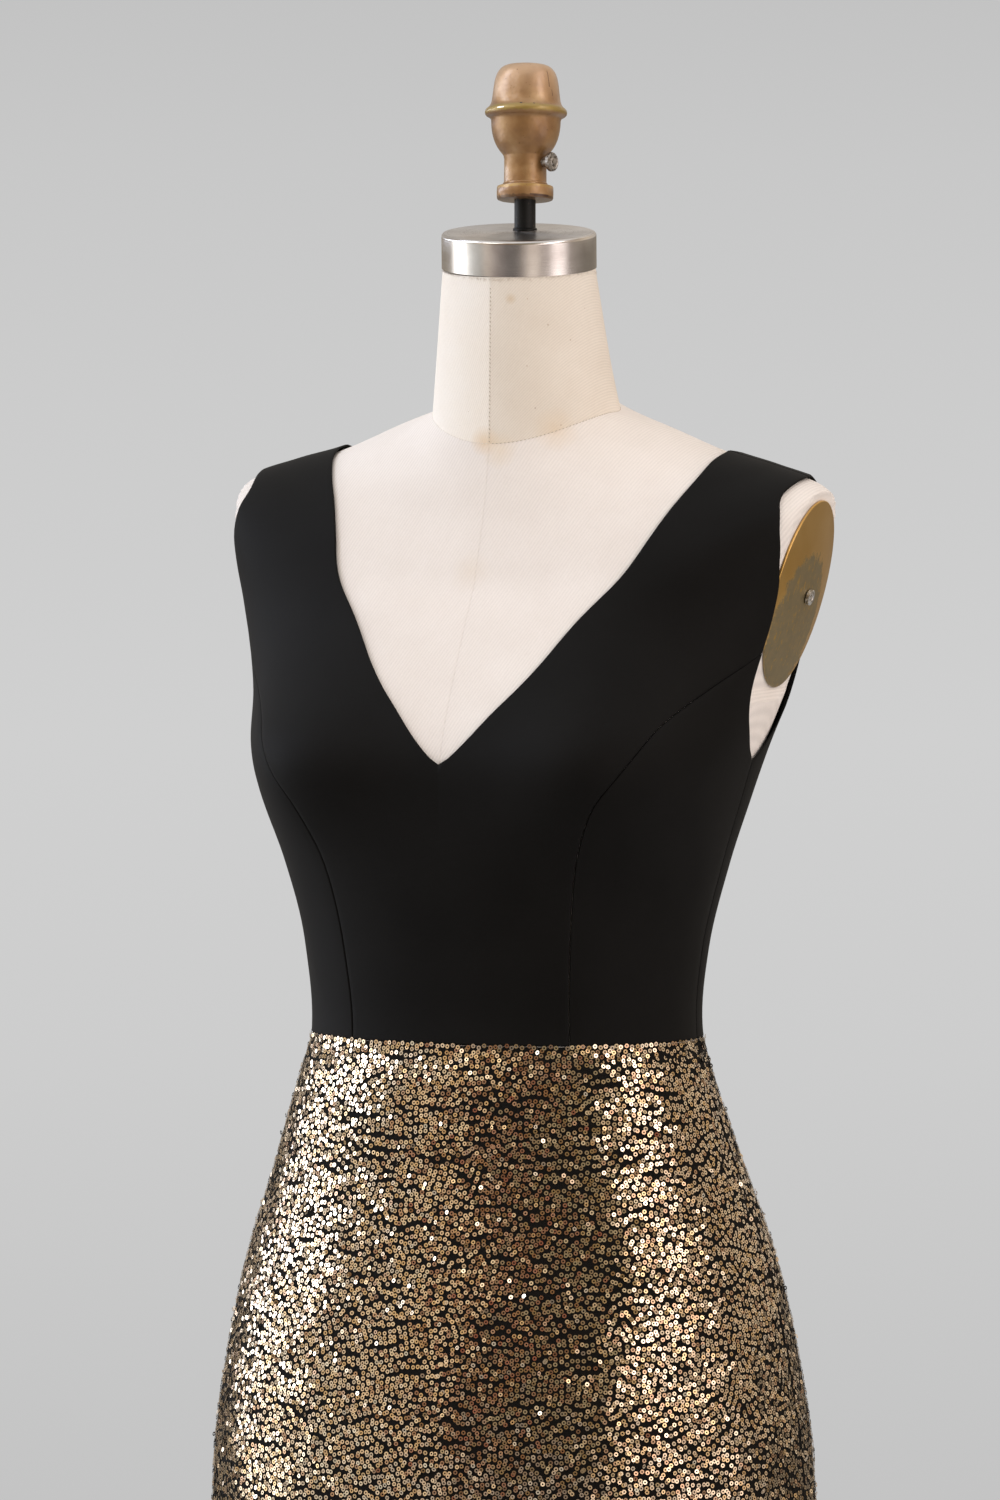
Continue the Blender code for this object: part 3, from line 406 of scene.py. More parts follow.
def make_canvas():
    material, tree, shader = new_material("cotton_canvas", {"Roughness": 0.88,
                                                            "Specular IOR Level": 0.2})
    place = add_node(tree, "TexCoord")
    where = place.outputs["Object"]
    level = add_node(tree, "SeparateXYZ", {"Vector": place.outputs["UV"]}).outputs["Y"]
    across = add_node(tree, "SeparateXYZ", {"Vector": where}).outputs["X"]
    cloud = add_node(tree, "TexNoise", {"Vector": where, "Scale": 16.0, "Detail": 5.0,
                                        "Roughness": 0.62})
    weave = add_node(tree, "TexNoise", {"Vector": where, "Scale": 1 / WEAVE_THREAD, "Detail": 1.0})
    twill = ribs_of_cloth(tree, where, 62, TWILL_RIB)
    left_ribs = ribs_of_cloth(tree, where, 48, NECK_RIB)
    right_ribs = ribs_of_cloth(tree, where, -70, NECK_RIB)

    chest = canvas_tone(tree, cloud, "#e4dcd5", "#ece5df", twill, weave)
    # the wearer's right neck piece is painted lighter than the left one: partly the real step
    # between two pieces cut differently, partly painted light from the key lamp on that side
    left_neck_painted_darker = canvas_tone(tree, cloud, "#dfd4c6", "#e9e0d4", left_ribs, weave)
    right_neck_painted_lighter = canvas_tone(tree, cloud, "#f1e8dc", "#f4eee6", right_ribs, weave)
    is_left = add_node(tree, "Math", {0: across, 1: 0.0}, operation="GREATER_THAN")
    neck = add_node(tree, "Mix", {0: is_left, 6: right_neck_painted_lighter, 7: left_neck_painted_darker}, data_type="RGBA")
    is_neck = add_node(tree, "Math", {0: level, 1: NECK_SEAM}, operation="GREATER_THAN")
    colour = add_node(tree, "Mix", {0: is_neck, 6: chest, 7: neck}, data_type="RGBA")

    # specks in the neck's cloth, each in its own cell of a coarse pattern
    cells = add_node(tree, "TexVoronoi", {"Vector": where, "Scale": 120.0})
    patchy = add_node(tree, "TexNoise", {"Vector": where, "Scale": 50.0})
    widest = add_node(tree, "MapRange", {"Value": patchy, "From Min": 0.50, "From Max": 0.75,
                                         "To Min": 0.0, "To Max": 0.10})
    in_speck = add_node(tree, "Math", {0: cells, 1: widest}, operation="LESS_THAN")
    speck = add_node(tree, "Math", {0: in_speck, 1: is_neck}, operation="MULTIPLY")
    colour = add_node(tree, "Mix", {0: speck, 6: colour, 7: srgb("#a98a66")}, data_type="RGBA")

    for at_level, at_turn, radius, strength, stain_colour in STAINS:
        centre = tuple(body_points(at_level, at_turn))
        distance = add_node(tree, "VectorMath", {0: where, 1: centre}, operation="DISTANCE")
        ragged = add_node(tree, "Math", {0: cloud, 1: radius * MM, 2: distance},
                          operation="MULTIPLY_ADD")
        fade = add_node(tree, "MapRange", {"Value": ragged, "From Min": 0.5 * radius * MM,
                                           "From Max": 1.4 * radius * MM,
                                           "To Min": strength, "To Max": 0.0})
        colour = add_node(tree, "Mix", {0: fade, 6: colour, 7: srgb(stain_colour)},
                          data_type="RGBA")

    front_and_back = seam_line_mask(tree, across, 0.0, SEAM_HALF)
    neck_base = seam_line_mask(tree, level, NECK_SEAM, SEAM_HALF_ON_MAP)
    seams = add_node(tree, "Math", {0: front_and_back, 1: neck_base}, operation="MAXIMUM")
    faint = add_node(tree, "Math", {0: seams, 1: SEAM_SHADE}, operation="MULTIPLY")
    colour = add_node(tree, "Mix", {0: faint, 6: colour, 7: srgb("#94806a")}, data_type="RGBA")

    relief = add_node(tree, "Math", {0: twill, 1: weave}, operation="ADD")
    threads = add_node(tree, "Bump", {"Height": relief, "Strength": 0.30, "Distance": 0.00025})
    dip = add_node(tree, "Bump", {"Height": seams, "Strength": 0.4, "Distance": 0.0005,
                                  "Normal": threads}, invert=True)
    set_inputs(shader, {"Base Color": colour, "Normal": dip})
    return material


CANVAS = make_canvas()
print("stains and specks on the canvas:", len(STAINS))

# %% [markdown]
# The torso is one wrapped grid from its flat foot to the top of the neck, closed at the
# back, with a flat face at each end. Its arm openings are cut flat, as in the solid.

# %% Canvas torso
TORSO_ROWS = 180
TORSO_COLUMNS = 120


def torso_points():
    level = np.linspace(0.0, TOP_LEVEL, TORSO_ROWS + 1)[:, None]
    turn = np.linspace(-180.0, 180.0, TORSO_COLUMNS + 1)[None, :]
    points = body_points(level, turn)
    z = points[..., 2]
    limit = arm_cut_x(z / CM) * CM
    cut_back = np.copysign(np.minimum(np.abs(points[..., 0]), limit), points[..., 0])
    points[..., 0] = np.where(z > ARM_CUT["from_z"] * CM, cut_back, points[..., 0])
    rim = points[-1]
    front, back = rim[TORSO_COLUMNS // 2], rim[0]
    slope = (back[2] - front[2]) / (back[1] - front[1])
    rim[:, 2] = front[2] + slope * (rim[:, 1] - front[1])
    return points


def fill_ends(thing):
    """Closes the open foot and neck of the torso with flat faces."""
    edit(thing, MERGE)
    bpy.ops.object.mode_set(mode="EDIT")
    bpy.ops.mesh.select_all(action="DESELECT")
    bpy.ops.mesh.select_mode(type="EDGE")
    bpy.ops.mesh.select_non_manifold()
    bpy.ops.mesh.fill_holes(sides=0)
    bpy.ops.object.mode_set(mode="OBJECT")


torso = wrapped_grid("canvas_torso", torso_points())
fill_ends(torso)
smooth(torso, 35)
dress(torso, CANVAS, "canvas", "form_torso")

# %% [markdown]
# Hand stitches close the seams of the neck. One stitch is a small ball stretched to a
# capsule, and its copies are laid along a path on the canvas, each a little crooked. The
# raw edge of the canvas frays under the steel cap: short loose fibres of three sides each.

# %% Many small copies of one shape
def mesh_of_triangles(name, points, corners):
    """A mesh from its points' places and, three by three, the numbers of its corners."""
    mesh = bpy.data.meshes.new(name)
    mesh.vertices.add(points.size // 3)
    mesh.vertices.foreach_set("co", points.ravel())
    mesh.loops.add(corners.size)
    mesh.loops.foreach_set("vertex_index", corners.ravel())
    mesh.polygons.add(corners.size // 3)
    mesh.polygons.foreach_set("loop_start", 3 * np.arange(corners.size // 3))
    mesh.update(calc_edges=True)
    thing = bpy.data.objects.new(name, mesh)
    bpy.context.scene.collection.objects.link(thing)
    return thing


def copies_of(name, shape, centres, first_axes, second_axes, third_axes):
    """One mesh with a copy of a small shape at each centre, along its own three axes."""
    points = np.empty(3 * len(shape.vertices))
    shape.vertices.foreach_get("co", points)
    points = points.reshape(-1, 3)
    shape.calc_loop_triangles()
    corners = np.empty(3 * len(shape.loop_triangles), int)
    shape.loop_triangles.foreach_get("vertices", corners)
    placed = (centres[:, None]
              + points[None, :, 0:1] * first_axes[:, None]
              + points[None, :, 1:2] * second_axes[:, None]
              + points[None, :, 2:3] * third_axes[:, None])
    index = corners[None] + len(points) * np.arange(len(centres))[:, None]
    return mesh_of_triangles(name, placed, index)


def model_shape(add_primitive, **settings):
    """A primitive's mesh, taken off its object to be copied."""
    deselect_all()
    add_primitive(**settings)
    thing = bpy.context.object
    mesh = thing.data
    bpy.data.objects.remove(thing)
    return mesh


BALL = model_shape(bpy.ops.mesh.primitive_uv_sphere_add, segments=6, ring_count=5, radius=1.0)
FIBRE = model_shape(bpy.ops.mesh.primitive_cone_add, vertices=3, radius1=1.0, radius2=0.3,
                    depth=2.0)


def length_along(path):
    """Length of a path up to each of its points."""
    return np.concatenate(([0.0], np.cumsum(np.linalg.norm(np.diff(path, axis=0), axis=1))))


def read_at(places, run, rows):
    """Rows that belong to places run, read in between them at other places."""
    return np.stack([np.interp(places, run, column) for column in rows.T], axis=-1)


print("points in a stitch: %d, in a fibre: %d" % (len(BALL.vertices), len(FIBRE.vertices)))

# %% [markdown]
# The thread of a seam has browned; the loose fibres of the raw edge are still pale. Both
# are twisted, so their tone changes from one millimetre to the next.

# %% Stitches and fraying
STITCH_PITCH = 2.5 * MM
STITCH_HALF = (0.75 * MM, 0.22 * MM, 0.18 * MM)     # along, across and out
STITCH_SCATTER = 7.0            # degrees that a stitch may lie askew
NEAR = 0.5 * MM                 # how far ahead and back a path's direction is taken
LAST_STITCH = TOP_LEVEL - 0.12
FRAY_LEVEL = TOP_LEVEL - 0.035
FRAY_SPREAD = 0.02              # levels above and below the edge
FRAY_SCATTER = 55.0             # degrees away from straight down
FRAY_OUT = 0.35                 # the most that a fibre stands away from the canvas
FIBRE_HALF = (0.5, 1.4)         # shortest and longest half, in millimetres
FIBRE_RADIUS = 0.10 * MM
loose = np.random.RandomState(7)


def cotton_thread(name, colour):
    material, tree, shader = new_material(name, {"Roughness": 0.8})
    where = add_node(tree, "TexCoord").outputs["Object"]
    twist = add_node(tree, "TexNoise", {"Vector": where, "Scale": 1500.0})
    tone = add_node(tree, "ValToRGB", {"Fac": twist})
    linear = srgb(colour)
    paint_ramp(tone, ((0.35, tuple(c * 0.75 for c in linear[:3]) + (1,)), (0.65, linear)))
    set_inputs(shader, {"Base Color": tone})
    return material


def stitch_row(name, levels, turns, slant, material):
    """Stitches at even steps along a path given by its levels and turns."""
    fine = np.linspace(0, 1, 400)
    level = np.interp(fine, np.linspace(0, 1, len(levels)), levels)
    turn = np.interp(fine, np.linspace(0, 1, len(turns)), turns)
    path = body_points(level, turn)
    run = length_along(path)
    at = np.arange(STITCH_PITCH / 2, run[-1], STITCH_PITCH)
    at_level, at_turn = np.interp(at, run, level), np.interp(at, run, turn)
    centre = body_points(at_level, at_turn)
    outwards = body_normals(at_level, at_turn)
    ahead = read_at(at + NEAR, run, path) - read_at(at - NEAR, run, path)
    along = unit(ahead - outwards * np.sum(ahead * outwards, axis=1, keepdims=True))
    beside = np.cross(outwards, along)
    crooked = np.radians(slant + loose.normal(0, STITCH_SCATTER, len(at)))[:, None]
    along, beside = (along * np.cos(crooked) + beside * np.sin(crooked),
                     beside * np.cos(crooked) - along * np.sin(crooked))
    centre = centre + outwards * 0.05 * MM
    row = copies_of(name, BALL, centre, along * STITCH_HALF[0], beside * STITCH_HALF[1],
                    outwards * STITCH_HALF[2])
    return dress(row, material, "canvas")


BROWN_THREAD = cotton_thread("brown_cotton_thread", "#b5a48e")
PALE_THREAD = cotton_thread("pale_cotton_fibre", "#efe6da")
stitch_row("stitches_neck_front", (NECK_BASE_LEVEL, LAST_STITCH), (0.0, 0.0), 38, BROWN_THREAD)
stitch_row("stitches_neck_back", (NECK_BASE_LEVEL, LAST_STITCH), (180.0, 180.0), 24, BROWN_THREAD)
stitch_row("stitches_neck_base_left", (NECK_BASE_LEVEL,) * 2, (1.0, 179.0), 6, BROWN_THREAD)
stitch_row("stitches_neck_base_right", (NECK_BASE_LEVEL,) * 2, (-179.0, -1.0), 6, PALE_THREAD)


def fray(name, level, turns, count, material):
    """Loose fibres that hang from the canvas edge at one level."""
    turn = loose.uniform(turns[0], turns[1], count)
    at_level = level + loose.uniform(-FRAY_SPREAD, FRAY_SPREAD, count)
    outwards = body_normals(at_level, turn)
    down = unit(body_points(at_level - 0.05, turn) - body_points(at_level, turn))
    beside = np.cross(outwards, down)
    angle = loose.normal(0, FRAY_SCATTER, count)[:, None] * math.pi / 180
    away = outwards * loose.uniform(0.0, FRAY_OUT, (count, 1))
    along = unit(down * np.cos(angle) + beside * np.sin(angle) + away)
    half = loose.uniform(*FIBRE_HALF, (count, 1)) * MM
    side = unit(np.cross(outwards, along))
    centre = body_points(at_level, turn) + outwards * 0.12 * MM + along * half * 0.8
    threads = copies_of(name, FIBRE, centre, side * FIBRE_RADIUS,
                        np.cross(along, side) * FIBRE_RADIUS, along * half)
    return dress(threads, material, "canvas")


fray("fray_under_cap", FRAY_LEVEL, (-180.0, 180.0), 420, PALE_THREAD)

# %% [markdown]
# The bodice has seven cut pieces. Each lies between two edges on the torso's surface,
# given as a level and a turn. A piece is a closed shell 1 mm thick that rounds off to
# nothing at its edges, so that two pieces meet in the soft groove of a pressed seam and
# the neckline has a turned edge. A few shallow creases are listed.

# %% Seams and edges of the bodice
WAIST_LEVEL = 4.0
WAIST_Z = 1.075
SEAM_GAP = 0.3 * MM
BODICE_LEAN = 0.15 * MM
BODICE_LIFT = 1.6 * MM
CREPE = 1.0 * MM
EDGE_ROLL = 1.1 * MM            # width over which an edge rounds off

STAND_OFF = {
    # name             level  turn  level_spread turn_spread lift_cm
    "front_armhole": (10.2,  68.0, 1.3,         18.0,       0.10),
    "back_armhole":  (10.0, 116.0, 1.6,         22.0,       0.22),
    "bust":          (7.4,   42.0, 1.2,         20.0,       0.11),
}
NECKLINE_FRONT = ((7.85, 0.0), (8.7, 7.3), (9.6, 16.5), (10.8, 25.0), (12.1, 35.5),
                  (13.05, 52.0), (13.75, 70.0), (14.0, 89.8))
# the dress hangs a little unevenly: on the wearer's right the strap lies nearer the neck
NECKLINE_FRONT_RIGHT = ((7.85, 0.0), (8.75, 8.0), (9.65, 17.5), (10.55, 24.0), (12.15, 33.0),
                        (13.3, 52.0), (13.8, 70.0), (14.0, 89.8))
ARMHOLE_FRONT = ((9.5, 73.7), (10.2, 70.0), (10.65, 66.0), (11.2, 64.0), (11.95, 68.0),
                 (12.25, 78.0), (12.35, 89.8))
PRINCESS_FRONT = ((4.0, 34.0), (5.0, 33.9), (6.0, 33.4), (6.6, 34.0), (7.1, 35.6),
                  (7.6, 40.0), (8.1, 45.0), (8.6, 50.5), (9.1, 60.5), (9.5, 73.7))
SIDE_SEAM = ((4.0, 92.0), (6.0, 92.0), (7.7, 92.0))
PRINCESS_BACK = ((4.0, 147.0), (5.5, 146.5), (7.0, 145.0), (8.3, 141.0), (9.4, 133.0),
                 (10.3, 123.5))
ARMHOLE_BACK = ((10.3, 123.5), (11.2, 123.0), (11.9, 117.0), (12.35, 105.0), (12.35, 90.2))
UNDERARM_FRONT = ((9.5, 73.7), (9.1, 76.0), (8.7, 80.0), (8.2, 86.5), (7.7, 92.0))
UNDERARM_BACK = ((7.7, 92.0), (7.95, 98.0), (8.4, 106.0), (9.0, 114.0), (9.6, 120.0),
                 (10.3, 123.5))
NECKLINE_BACK = ((9.3, 180.0), (10.4, 165.0), (11.5, 152.0), (12.5, 139.0), (13.3, 122.0),
                 (13.8, 105.0), (14.0, 90.2))
CENTRE_FRONT = ((WAIST_LEVEL, 0.0), NECKLINE_FRONT[0])
CENTRE_BACK = ((WAIST_LEVEL, 180.0), NECKLINE_BACK[0])

# Soft troughs (negative) and ridges of the crepe: from one place to another.
CREASES = (
    # level turn    to_level to_turn  half_cm depth_mm
    (4.3,   44.0,   6.2,     58.0,    0.9,    -0.5),
    (4.2,   66.0,   5.9,     74.0,    0.8,    -0.6),
    (4.2,  -58.0,   5.6,    -70.0,    0.9,    -0.5),
    (5.4,   80.0,   7.4,     62.0,    1.0,    -0.5),
    (8.9,   66.0,   8.1,     54.0,    0.8,    -0.5),
    (8.9,  -66.0,   8.2,    -55.0,    0.8,    -0.4),
    (4.2,   12.0,   5.6,     18.0,    1.1,    -0.3),
    (4.2,  108.0,   5.6,    118.0,    0.9,    -0.6),
    (4.3, -112.0,   6.1,   -104.0,    0.9,    -0.5),
    (4.2,  154.0,   5.9,    160.0,    1.0,    -0.6),
    (4.2, -158.0,   5.4,   -150.0,    1.0,    -0.6),
    (7.9,  124.0,   8.9,    140.0,    1.0,    -0.5),
    (8.0, -128.0,   9.2,   -144.0,    1.0,    -0.5),
)


def edge_places(rows, fractions):
    """Places (level, turn) at fractions of an edge's real length."""
    fine = catmull_rom(rows, np.linspace(0, len(rows) - 1, 24 * (len(rows) - 1) + 1))
    run = length_along(body_points(fine[:, 0], fine[:, 1]))
    run /= run[-1]
    return read_at(fractions, run, fine)


def two_part_edge(lower, upper, rows_lower, rows_all, row):
    """An edge whose lower part ends at row rows_lower and whose upper part ends it."""
    low = edge_places(lower, np.clip(row / rows_lower, 0, 1))
    high = edge_places(upper, np.clip((row - rows_lower) / (rows_all - rows_lower), 0, 1))
    return np.where((row <= rows_lower)[:, None], low, high)


def crease_depth(level, turn):
    """Sum of the listed troughs at each place, in metres."""
    depth = np.zeros(np.broadcast(level, turn).shape)
    here = body_points(level, turn)
    for start_level, start_turn, end_level, end_turn, half, most in CREASES:
        start = body_points(start_level, start_turn)
        run = body_points(end_level, end_turn) - start
        along = np.clip(((here - start) @ run) / (run @ run), 0.0, 1.0)
        away = np.linalg.norm(here - start - along[..., None] * run, axis=-1)
        fade = np.sin(np.pi * np.clip(0.12 + 0.76 * along, 0, 1))
        depth += most * MM * fade * np.exp(-(away / (half * CM)) ** 2)
    return depth


def bodice_surface(level, turn):
    """Inner face of the crepe and the way out from it."""
    lift = BODICE_LIFT + crease_depth(level, turn)
    for at_level, at_turn, level_spread, turn_spread, most in STAND_OFF.values():
        lift = lift + most * CM * np.exp(-((level - at_level) / level_spread) ** 2
                                         - ((np.abs(turn) - at_turn) / turn_spread) ** 2)
    outwards = body_normals(level, turn)
    return body_points(level, turn) + outwards * lift[..., None], outwards


print("creases in the crepe:", len(CREASES))

# %% [markdown]
# Near its edges a cloth piece needs columns and rows a fraction of a millimetre apart, to
# round off, and in its middle a few millimetres are enough. So each row measures its own
# width first and then chooses where its columns go.

# %% Cloth shells
ROLL_STEPS = np.array((0.0, 0.12, 0.4, 0.75, 1.0))      # of the edge roll's width


def crowded_ends(lengths, middle_count):
    """Fractions along each length: close together at both ends and even between."""
    start = ROLL_STEPS[None, :] * EDGE_ROLL / lengths[:, None]
    middle = np.linspace(0, 1, middle_count + 1)[None, 1:-1]
    first, last = start[:, -1:], 1 - start[:, -1:]
    return np.concatenate((start, first + (last - first) * middle, 1 - start[:, ::-1]), axis=1)


def rounded(distance):
    """0 at an edge, 1 past the edge roll, with a round shoulder."""
    inside = np.clip(distance / EDGE_ROLL, 0.0, 1.0)
    return np.sqrt(1 - (1 - inside) ** 2)


def edge_distances(points):
    """Each point's distance to the grid's nearest side edge and end edge."""
    across = np.linalg.norm(np.diff(points, axis=1), axis=-1)
    across = np.concatenate((np.zeros((len(points), 1)), np.cumsum(across, axis=1)), axis=1)
    along = np.linalg.norm(np.diff(points, axis=0), axis=-1)
    along = np.concatenate((np.zeros((1, points.shape[1])), np.cumsum(along, axis=0)), axis=0)
    side = np.minimum(across, across[:, -1:] - across)
    end = np.minimum(along, along[-1:] - along)
    return side, end


def closed_shell(name, inner, outer):
    """Two grids of points with the same edges, as the two faces of one piece."""
    face = wrapped_grid(name, outer)
    back = wrapped_grid(name + "_back", inner)
    edit(back, TURN_OVER)
    return join(name, [face, back])


def cloth_shell(name, inner, outwards, thickness):
    """A closed shell on a grid of inner points, rounded off along its edges."""
    side, end = edge_distances(inner)
    wall = thickness * rounded(side) * rounded(end)
    return closed_shell(name, inner, inner + outwards * wall[..., None])


def sew_up(panel, material, slot, node):
    """Merges the edges of a shell and gives it its finish."""
    edit(panel, MERGE)
    smooth(panel, 60)
    return dress(panel, material, slot, node)


def trim(points, amount):
    """Pulls the two side edges of a grid of points in by a small amount."""
    for edge, inner in ((0, 1), (-1, -2)):
        inwards = unit(points[:, inner] - points[:, edge])
        points[:, edge] += inwards * amount
    return points


def bodice_grid(inner_edge, outer_edge, columns, top_edge=None):
    """Levels and turns of a panel, row by row, from two edges and an optional top."""
    width = np.linalg.norm(body_points(*inner_edge.T) - body_points(*outer_edge.T), axis=1)
    fraction = crowded_ends(np.maximum(width, 0.01), columns)[..., None]
    places = inner_edge[:, None] + (outer_edge - inner_edge)[:, None] * fraction
    if top_edge is not None:
        flat = places[-1]
        curved = edge_places(top_edge, fraction[-1, :, 0])
        bend = np.linspace(0, 1, len(places))[:, None, None] ** 3
        places = places + (curved - flat)[None] * bend
    return places[..., 0], places[..., 1]


def row_positions(total, finer):
    """Row numbers of the solid's panel, divided finer, crowded at waist and top."""
    even = np.linspace(0, total, total * finer + 1)
    ends = np.array((0.02, 0.06, 0.12))
    return np.unique(np.concatenate((even, ends, total - ends)))


def bodice_panel(name, node, inner_edge, outer_edge, columns, side, top_edge=None):
    level, turn = bodice_grid(inner_edge, outer_edge, columns, top_edge)
    inner, outwards = bodice_surface(level, turn * side)
    if side < 0:
        inner, outwards = inner[:, ::-1].copy(), outwards[:, ::-1].copy()
    inner = trim(inner, SEAM_GAP / 2)
    inner[0, :, 2] = WAIST_Z + SEAM_GAP / 2 + BODICE_LEAN
    return sew_up(cloth_shell(name, inner, outwards, CREPE), BLACK_CREPE, "black_crepe", node)


print("points across a rolled edge:", len(ROLL_STEPS))

# %% [markdown]
# The centre front is cut on folded cloth, so its two halves share the princess seam's edge
# and are joined along the fold. Only their necklines differ a little, as the dress hangs.

# %% Bodice panels
ROWS_TO_V, ROWS_TO_ARMHOLE, ROWS_FRONT = 11, 14, 25
ROWS_BACK_ARMHOLE, ROWS_BACK = 11, 21
FINER = 3

front_rows = row_positions(ROWS_FRONT, FINER)
front_inner_left, front_inner_right = (
    two_part_edge(CENTRE_FRONT, neckline, ROWS_TO_V, ROWS_FRONT, front_rows)
    for neckline in (NECKLINE_FRONT, NECKLINE_FRONT_RIGHT))
front_outer = two_part_edge(PRINCESS_FRONT, ARMHOLE_FRONT, ROWS_TO_ARMHOLE, ROWS_FRONT, front_rows)


def build_centre_front():
    halves = []
    for side, front_inner in ((1, front_inner_left), (-1, front_inner_right)):
        level, turn = bodice_grid(front_inner, front_outer, 20)
        inner, outwards = bodice_surface(level, turn * side)
        inner = trim(inner, SEAM_GAP / 2)
        on_fold = front_rows <= ROWS_TO_V
        inner[on_fold, 0, 0] = 0.0
        inner[0, :, 2] = WAIST_Z + SEAM_GAP / 2 + BODICE_LEAN
        reach = np.linalg.norm(inner - inner[:, -1:], axis=-1)
        both, end = edge_distances(inner)
        end = np.where(on_fold[:, None] & (front_rows > 2)[:, None], 1.0, end)
        wall = CREPE * rounded(np.where(on_fold[:, None], reach, both)) * rounded(end)
        outer = inner + outwards * wall[..., None]
        outer[on_fold, 0, 0] = 0.0
        if side < 0:
            inner, outer = inner[:, ::-1], outer[:, ::-1]
        halves.append(closed_shell("crepe_half", inner, outer))
    panel = join("crepe_centre_front", halves)
    return sew_up(panel, BLACK_CREPE, "black_crepe", "bodice_centre_front")


side_rows = row_positions(ROWS_TO_ARMHOLE, FINER)
back_rows = row_positions(ROWS_BACK, FINER)
side_back_rows = row_positions(ROWS_BACK_ARMHOLE, FINER)
CREPE_CUT = {
    # piece                flat width, length, area in metres
    "crepe_centre_front": ((0.360, 0.375), 0.0745),
    "crepe_side_front":   ((0.135, 0.250), 0.0247),
    "crepe_side_back":    ((0.140, 0.290), 0.0219),
    "crepe_centre_back":  ((0.180, 0.380), 0.0343),
}
crepe_panels = [build_centre_front()]
for side_name, side in (("left", 1), ("right", -1)):
    crepe_panels.append(bodice_panel(
        "crepe_side_front_" + side_name, "bodice_side_front_" + side_name,
        edge_places(PRINCESS_FRONT, side_rows / ROWS_TO_ARMHOLE),
        edge_places(SIDE_SEAM, side_rows / ROWS_TO_ARMHOLE), 14, side, UNDERARM_FRONT))
    crepe_panels.append(bodice_panel(
        "crepe_side_back_" + side_name, "bodice_side_back_" + side_name,
        edge_places(SIDE_SEAM, side_back_rows / ROWS_BACK_ARMHOLE),
        edge_places(PRINCESS_BACK, side_back_rows / ROWS_BACK_ARMHOLE), 14, side, UNDERARM_BACK))
    crepe_panels.append(bodice_panel(
        "crepe_centre_back_" + side_name, "bodice_centre_back_" + side_name,
        two_part_edge(PRINCESS_BACK, ARMHOLE_BACK, ROWS_BACK_ARMHOLE, ROWS_BACK, back_rows),
        two_part_edge(CENTRE_BACK, NECKLINE_BACK, ROWS_BACK_ARMHOLE, ROWS_BACK, back_rows),
        16, side))
for panel in crepe_panels:
    cut_name = panel.name.replace("_left", "").replace("_right", "")
    flat, area = CREPE_CUT[cut_name]

# %% [markdown]
# The skirt's ground is a black mesh that hangs from the waist seam. Its rings are level,
# wider to the hem, and near the hem soft flutes open between them.

# %% The skirt's surface
SEQUIN_CLOTH = 1.5 * MM
HEM_Z = 0.025
SKIRT_LEAN = 0.45 * MM
SKIRT_SQUARENESS = 2.1
SKIRT_SEAM_TURN = 92.0
GROUND = 0.6 * MM               # thickness of the mesh ground
SKIRT_COLUMNS = ("z", "half_width", "centre_y", "depth_ratio")
SKIRT_RINGS = np.array((
    # z      half_width centre_y depth_ratio
    (107.45, 12.35,     -1.55,   0.730),
    (105.5,  12.90,     -1.65,   0.735),
    (102.5,  13.85,     -1.50,   0.740),
    (99.0,   14.95,     -1.15,   0.750),
    (95.0,   16.30,     -0.90,   0.760),
    (91.0,   17.30,     -0.78,   0.778),
    (87.0,   18.05,     -0.72,   0.788),
    (83.0,   18.65,     -0.65,   0.790),
    (79.0,   18.90,     -0.60,   0.790),
    (74.0,   19.15,     -0.55,   0.800),
    (60.0,   19.95,     -0.40,   0.830),
    (40.0,   21.20,     -0.20,   0.860),
    (20.0,   22.40,     -0.05,   0.885),
    (2.5,    23.40,      0.00,   0.900),
))
FLUTE_OPENING = 1.6             # a flute opens slowly at first
FLUTES = (
    # turn    out_cm  half_turn top_z
    (-27.0,  1.30,   11.0,     66.0),
    (31.0,   1.05,   12.0,     58.0),
    (-62.0,  0.90,   10.0,     52.0),
    (65.0,   1.15,   10.5,     70.0),
    (114.0,  0.95,   11.0,     56.0),
    (-117.0, 1.20,   12.0,     64.0),
    (150.0,  1.25,   11.5,     68.0),
    (-153.0, 1.00,   10.5,     60.0),
)
SKIRT_CREASES = (
    # from z, turn  to z,  turn   half_turn depth_mm
    (106.0, -58.0,  60.0, -66.0,  7.0,     -1.3),
    (104.0, -40.0,  50.0, -46.0,  6.0,      1.0),
    (105.0, -12.0,  62.0, -20.0,  8.0,     -0.9),
    (103.0,   8.0,  55.0,   1.0,  7.0,      0.8),
    (106.0,  46.0,  70.0,  30.0,  7.0,      1.2),
    (104.0,  62.0,  48.0,  50.0,  7.0,     -1.2),
    (102.0,  84.0,  60.0,  80.0,  6.0,     -0.9),
    (105.0, 120.0,  58.0, 126.0,  7.0,     -1.1),
    (104.0, 152.0,  66.0, 146.0,  7.0,      1.0),
    (106.0, -164.0, 60.0, -158.0, 7.0,     -1.0),
    (104.0, -132.0, 52.0, -138.0, 7.0,      0.9),
    (105.0, -104.0, 64.0, -98.0,  6.0,     -1.0),
)


def skirt_creases(z, turn):
    """Depth of the listed creases of the skirt, in centimetres."""
    depth = np.zeros_like(z)
    for top_z, top_turn, low_z, low_turn, half_turn, most in SKIRT_CREASES:
        down = np.clip((top_z - z) / (top_z - low_z), 0.0, 1.0)
        away = (turn - top_turn - (low_turn - top_turn) * down + 180) % 360 - 180
        depth += most * MM / CM * np.sin(np.pi * down) * np.exp(-(away / half_turn) ** 2)
    return depth


